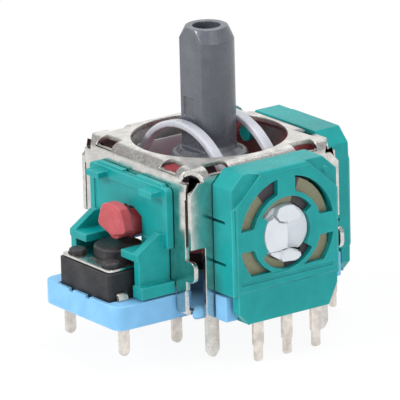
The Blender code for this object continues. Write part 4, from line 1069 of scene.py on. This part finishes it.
class DressUpperArm(bpy.types.Operator):
    """Sweeps the two rails of the upper arm onto its cheeks"""

    bl_idname = "analog_stick.upper_arm"
    bl_label = "Upper arm"
    bl_options = {"REGISTER", "UNDO"}

    def execute(self, context):
        sizes = settings().sizes
        body = cut(cad_solid("upper_arm"), block(*PACKED_RAILS))
        soften(body, in_mm(sizes.cheek_cell), rounds=2, share=0.4)
        milky = finish_of("arch")
        dress(body, "upper_arm_cheeks", milky, "arch", ["upper_arm"])
        gap = in_mm(sizes.rail_gap)
        rails = run_group(
            point_mesh(),
            rail_group(),
            {
                "Radius": RAIL_RADIUS,
                "Oval": RAIL_OVAL,
                "Start": math.radians(RAIL_START),
                "Sweep": math.radians(RAIL_SWEEP),
                "Section width": in_mm(sizes.rail_width),
                "Section height": in_mm(sizes.rail_height),
                "First": (0, -gap / 2, GIMBAL_Z),
                "Step": (0, gap, 0),
                "Finish": milky,
            },
        )
        rails.data.shade_smooth()
        dress(rails, "upper_arm_rails", milky, "arch")
        drop(body, rails)
        return {"FINISHED"}


# The lower arm's round cradle, and the knob on the end of its shaft
CRADLE_RADIUS = 4.9
CRADLE_CORNERS = ((-5.0, 5.0), (-4.62, 4.62), (3.5, 8.2))
PACKED_KNOB = ((-3, 3), (-9, -7.3), (3, 9))
HALF_KNOB = [
    (0.45, 1.66), (1.0, 1.46), (1.25, 1.1), (1.54, 0.3), (1.62, 0.02), (1.42, -0.22),
    (0.25, -0.58),
]
KNOB_SPAN = (-8.6, -7.78)
# Round lengths of the shaft, each as a radius and its two ends along y
PRESSER = (0.92, -6.9, -8.4)
ROOT = (1.42, -4.4, -5.65)


def shaft(radius, start, end):
    """A round length along the lower arm's axis."""
    return rod(radius, (0, start, GIMBAL_Z), (0, end, GIMBAL_Z))


class DressLowerArm(bpy.types.Operator):
    """Moulds the lower arm with the knob that presses the switch"""

    bl_idname = "analog_stick.lower_arm"
    bl_label = "Lower arm"
    bl_options = {"REGISTER", "UNDO"}

    def execute(self, context):
        round_part = rod(CRADLE_RADIUS, (0, 0, 3), (0, 0, 9), sides=96)
        corners = cut(block(*CRADLE_CORNERS), round_part)
        body = cut(cad_solid("lower_arm"), corners, block(*PACKED_KNOB))
        outline = [(x, GIMBAL_Z + z) for x, z in mirrored(HALF_KNOB)]
        fuse(body, shaft(*PRESSER), plate([outline], *KNOB_SPAN, "XZ"), shaft(*ROOT))
        soften(body, in_mm(settings().sizes.arm_cell), rounds=10, share=0.35)
        dress(body, "lower_arm_moulding", finish_of("red"), "cradle", ["lower_arm"])
        drop(body)
        return {"FINISHED"}


class DressCentering(bpy.types.Operator):
    """Winds the return spring and finishes the slider on it"""

    bl_idname = "analog_stick.centering"
    bl_label = "Slider and spring"
    bl_options = {"REGISTER", "UNDO"}

    def execute(self, context):
        wire = in_mm(settings().sizes.spring_wire)
        steel = finish_of("spring")
        low, high = (corner.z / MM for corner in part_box("return_spring"))
        coil = run_group(
            point_mesh(),
            coil_group(),
            {
                "Height": high - low - 2 * wire,
                "Wire": wire,
                "Foot": (0, 0, low + wire),
                "Finish": steel,
            },
        )
        coil.data.shade_smooth()
        dress(coil, "return_coil", steel, "module", ["return_spring"])
        drop(coil)
        paint_node("centering_slider", finish_of("black"))
        return {"FINISHED"}


class DressSwitch(bpy.types.Operator):
    """Builds the push switch: case, cover plate, button and terminals"""

    bl_idname = "analog_stick.switch"
    bl_label = "Push switch"
    bl_options = {"REGISTER", "UNDO"}

    def execute(self, context):
        sizes = settings().sizes
        black = finish_of("black")
        case = crisp("switch_body", in_mm(sizes.case_edge))
        dress(case, "switch_case", black, "module", ["switch_body"])
        cover = crisp("switch_cover_plate", in_mm(sizes.plate_edge))
        nodes = ["switch_cover_plate"]
        dress(cover, "switch_plate", finish_of("nickel"), "module", nodes)
        button = crisp("switch_plunger", in_mm(sizes.button_edge))
        dress(button, "switch_button", black, "button", ["switch_plunger"])
        drop(case, cover, button)
        paint_node("switch_dome", finish_of("spring"))
        for index in (1, 2, 3, 4):
            paint_node(f"switch_terminal_{index}", finish_of("tin"))
        return {"FINISHED"}


class DressStage(bpy.types.Operator):
    """Sets the floor, the lights, the sky and the camera"""

    bl_idname = "analog_stick.stage"
    bl_label = "Studio"
    bl_options = {"REGISTER", "UNDO"}

    def execute(self, context):
        lay_floor()
        light_sky()
        hang_lamps()
        set_camera()
        return {"FINISHED"}


# Studio

CAMERA_AZIMUTH = 54.363
CAMERA_ELEVATION = 17.302
CAMERA_ROLL = -1.487
CAMERA_DISTANCE = 410.77
CAMERA_LENS = 525.26
CAMERA_SENSOR = 36.0
CAMERA_TARGET = (0.0, 0.0, 4.75)
CAMERA_SHIFT = (-0.795, 1.392)
CAMERA_CLIP = (0.01, 10.0)
FLOOR_HALF = 600.0
FLOOR_BELOW_PINS = 0.02
FLOOR_TONE = (0.965, 0.965, 0.97)
FLOOR_GLOW = 0.93
SKY_TONE = (0.95, 0.97, 1.0, 1.0)
SKY_STRENGTH = 0.48
LAMP_AIM = (0.0, 0.0, 6.0)
# Each lamp's name, place, size and strength
LAMPS = (
    ("key_lamp", (-60.0, -230.0, 150.0), 120.0, 0.44),
    ("fill_lamp", (220.0, -20.0, 90.0), 150.0, 0.12),
    ("top_lamp", (0.0, 60.0, 260.0), 120.0, 0.34),
)


def lay_floor():
    """A pale paper floor that a camera sees nearly white, with the module's shadow on it."""
    made = Finish("paper_floor")
    made.colour(made.blend(made.noise(30.0, 2.0), FLOOR_TONE, paler(FLOOR_TONE, 0.4)))
    made.set(Roughness=0.9)
    made.bump(made.noise(1.2, 2.0), 0.01)
    glow = made.add("ShaderNodeEmission")
    glow.inputs["Strength"].default_value = 1.0
    rays = made.add("ShaderNodeLightPath")
    seen = made.maths("MAXIMUM", rays.outputs["Is Camera Ray"], rays.outputs["Is Glossy Ray"])
    seen = made.maths("MAXIMUM", seen, rays.outputs["Is Transmission Ray"])
    share = made.maths("MULTIPLY", seen, FLOOR_GLOW)
    mix = made.add("ShaderNodeMixShader")
    made.join(share, mix.inputs[0])
    wire_up(
        made.tree,
        (made.shader, "BSDF", mix, 1),
        (glow, "Emission", mix, 2),
        (mix, "Shader", made.tree.nodes["Material Output"], "Surface"),
    )
    bm = bmesh.new()
    bmesh.ops.create_grid(bm, x_segments=2, y_segments=2, size=FLOOR_HALF * MM)
    bmesh.ops.translate(bm, vec=(0, 0, (PIN_TIP - FLOOR_BELOW_PINS) * MM), verts=bm.verts)
    floor = work_object("floor", bm)
    floor.data.materials.append(made.material)


def light_sky():
    """A soft sky that the camera, gloss and glass see as plain white."""
    world = bpy.data.worlds.new("studio_sky")
    bpy.context.scene.world = world
    world.use_nodes = True
    tree = world.node_tree
    soft = tree.nodes["Background"]
    soft.inputs["Color"].default_value = SKY_TONE
    soft.inputs["Strength"].default_value = SKY_STRENGTH
    white = tree.nodes.new("ShaderNodeBackground")
    white.inputs["Color"].default_value = (1.0, 1.0, 1.0, 1.0)
    rays = tree.nodes.new("ShaderNodeLightPath")
    either = tree.nodes.new("ShaderNodeMath")
    either.operation = "MAXIMUM"
    seen = tree.nodes.new("ShaderNodeMath")
    seen.operation = "MAXIMUM"
    mix = tree.nodes.new("ShaderNodeMixShader")
    wire_up(
        tree,
        (rays, "Is Camera Ray", either, 0),
        (rays, "Is Transmission Ray", either, 1),
        (either, "Value", seen, 0),
        (rays, "Is Glossy Ray", seen, 1),
        (seen, "Value", mix, 0),
        (soft, "Background", mix, 1),
        (white, "Background", mix, 2),
        (mix, "Shader", tree.nodes["World Output"], "Surface"),
    )


def hang_lamps():
    """Round soft lamps, turned to the middle of the module."""
    for name, place, size, strength in LAMPS:
        lamp = bpy.data.lights.new(name, "AREA")
        lamp.shape = "DISK"
        lamp.size = size * MM
        lamp.energy = strength
        obj = bpy.data.objects.new(name, lamp)
        bpy.context.scene.collection.objects.link(obj)
        obj.location = Vector(place) * MM
        direction = (Vector(LAMP_AIM) - Vector(place)) * MM
        obj.rotation_euler = direction.to_track_quat("-Z", "Y").to_euler()


def set_camera():
    """The camera at the photograph's angle, and the plain view of colours."""
    scene = bpy.context.scene
    scene.view_settings.view_transform = "Standard"
    azimuth = math.radians(CAMERA_AZIMUTH)
    elevation = math.radians(CAMERA_ELEVATION)
    roll = math.radians(CAMERA_ROLL)
    back = Vector((
        math.sin(azimuth) * math.cos(elevation),
        -math.cos(azimuth) * math.cos(elevation),
        math.sin(elevation),
    ))
    right = Vector((math.cos(azimuth), math.sin(azimuth), 0.0))
    up = back.cross(right)
    rolled_right = math.cos(roll) * right + math.sin(roll) * up
    rolled_up = -math.sin(roll) * right + math.cos(roll) * up
    place = Vector(CAMERA_TARGET) + back * CAMERA_DISTANCE
    place += rolled_right * CAMERA_SHIFT[0] + rolled_up * CAMERA_SHIFT[1]
    data = bpy.data.cameras.new("photo_camera")
    data.sensor_width = CAMERA_SENSOR
    data.lens = CAMERA_LENS
    data.clip_start, data.clip_end = CAMERA_CLIP
    camera = bpy.data.objects.new("photo_camera", data)
    scene.collection.objects.link(camera)
    turn = Matrix((rolled_right, rolled_up, back)).transposed()
    camera.matrix_world = Matrix.Translation(place * MM) @ turn.to_4x4()
    scene.camera = camera


# Panel, registration and the run


class AnalogStickPanel(bpy.types.Panel):
    """Lists the steps that dress the stick module, with their settings"""

    bl_idname = "VIEW3D_PT_analog_stick"
    bl_label = "Analog stick"
    bl_space_type = "VIEW_3D"
    bl_region_type = "UI"
    bl_category = "Analog stick"

    def draw(self, context):
        for group in (settings().colours, settings().sizes):
            box = self.layout.box()
            for name in group.bl_rna.properties.keys():
                if name not in ("rna_type", "name"):
                    box.prop(group, name)
        for operator in OPERATORS:
            self.layout.operator(operator.bl_idname)


OPERATORS = (
    DressFrame,
    DressBase,
    DressHolder,
    DressSensorHousings,
    DressBoards,
    DressRotors,
    DressPins,
    DressStick,
    DressUpperArm,
    DressLowerArm,
    DressCentering,
    DressSwitch,
    DressStage,
)
CLASSES = (StickColours, StickSizes, StickSettings, *OPERATORS, AnalogStickPanel)


def register():
    """Makes the classes and the scene's settings known."""
    for made in CLASSES:
        bpy.utils.register_class(made)
    bpy.types.Scene.analog_stick = PointerProperty(
        type=StickSettings, name="Analog stick", description="Settings of the stick module"
    )


def unregister():
    """Takes the settings and the classes away again."""
    del bpy.types.Scene.analog_stick
    for made in reversed(CLASSES):
        bpy.utils.unregister_class(made)


def main():
    """Dresses the whole module, step by step."""
    register()
    for operator in OPERATORS:
        group, step = operator.bl_idname.split(".")
        getattr(getattr(bpy.ops, group), step)()


if __name__ == "__main__":
    main()
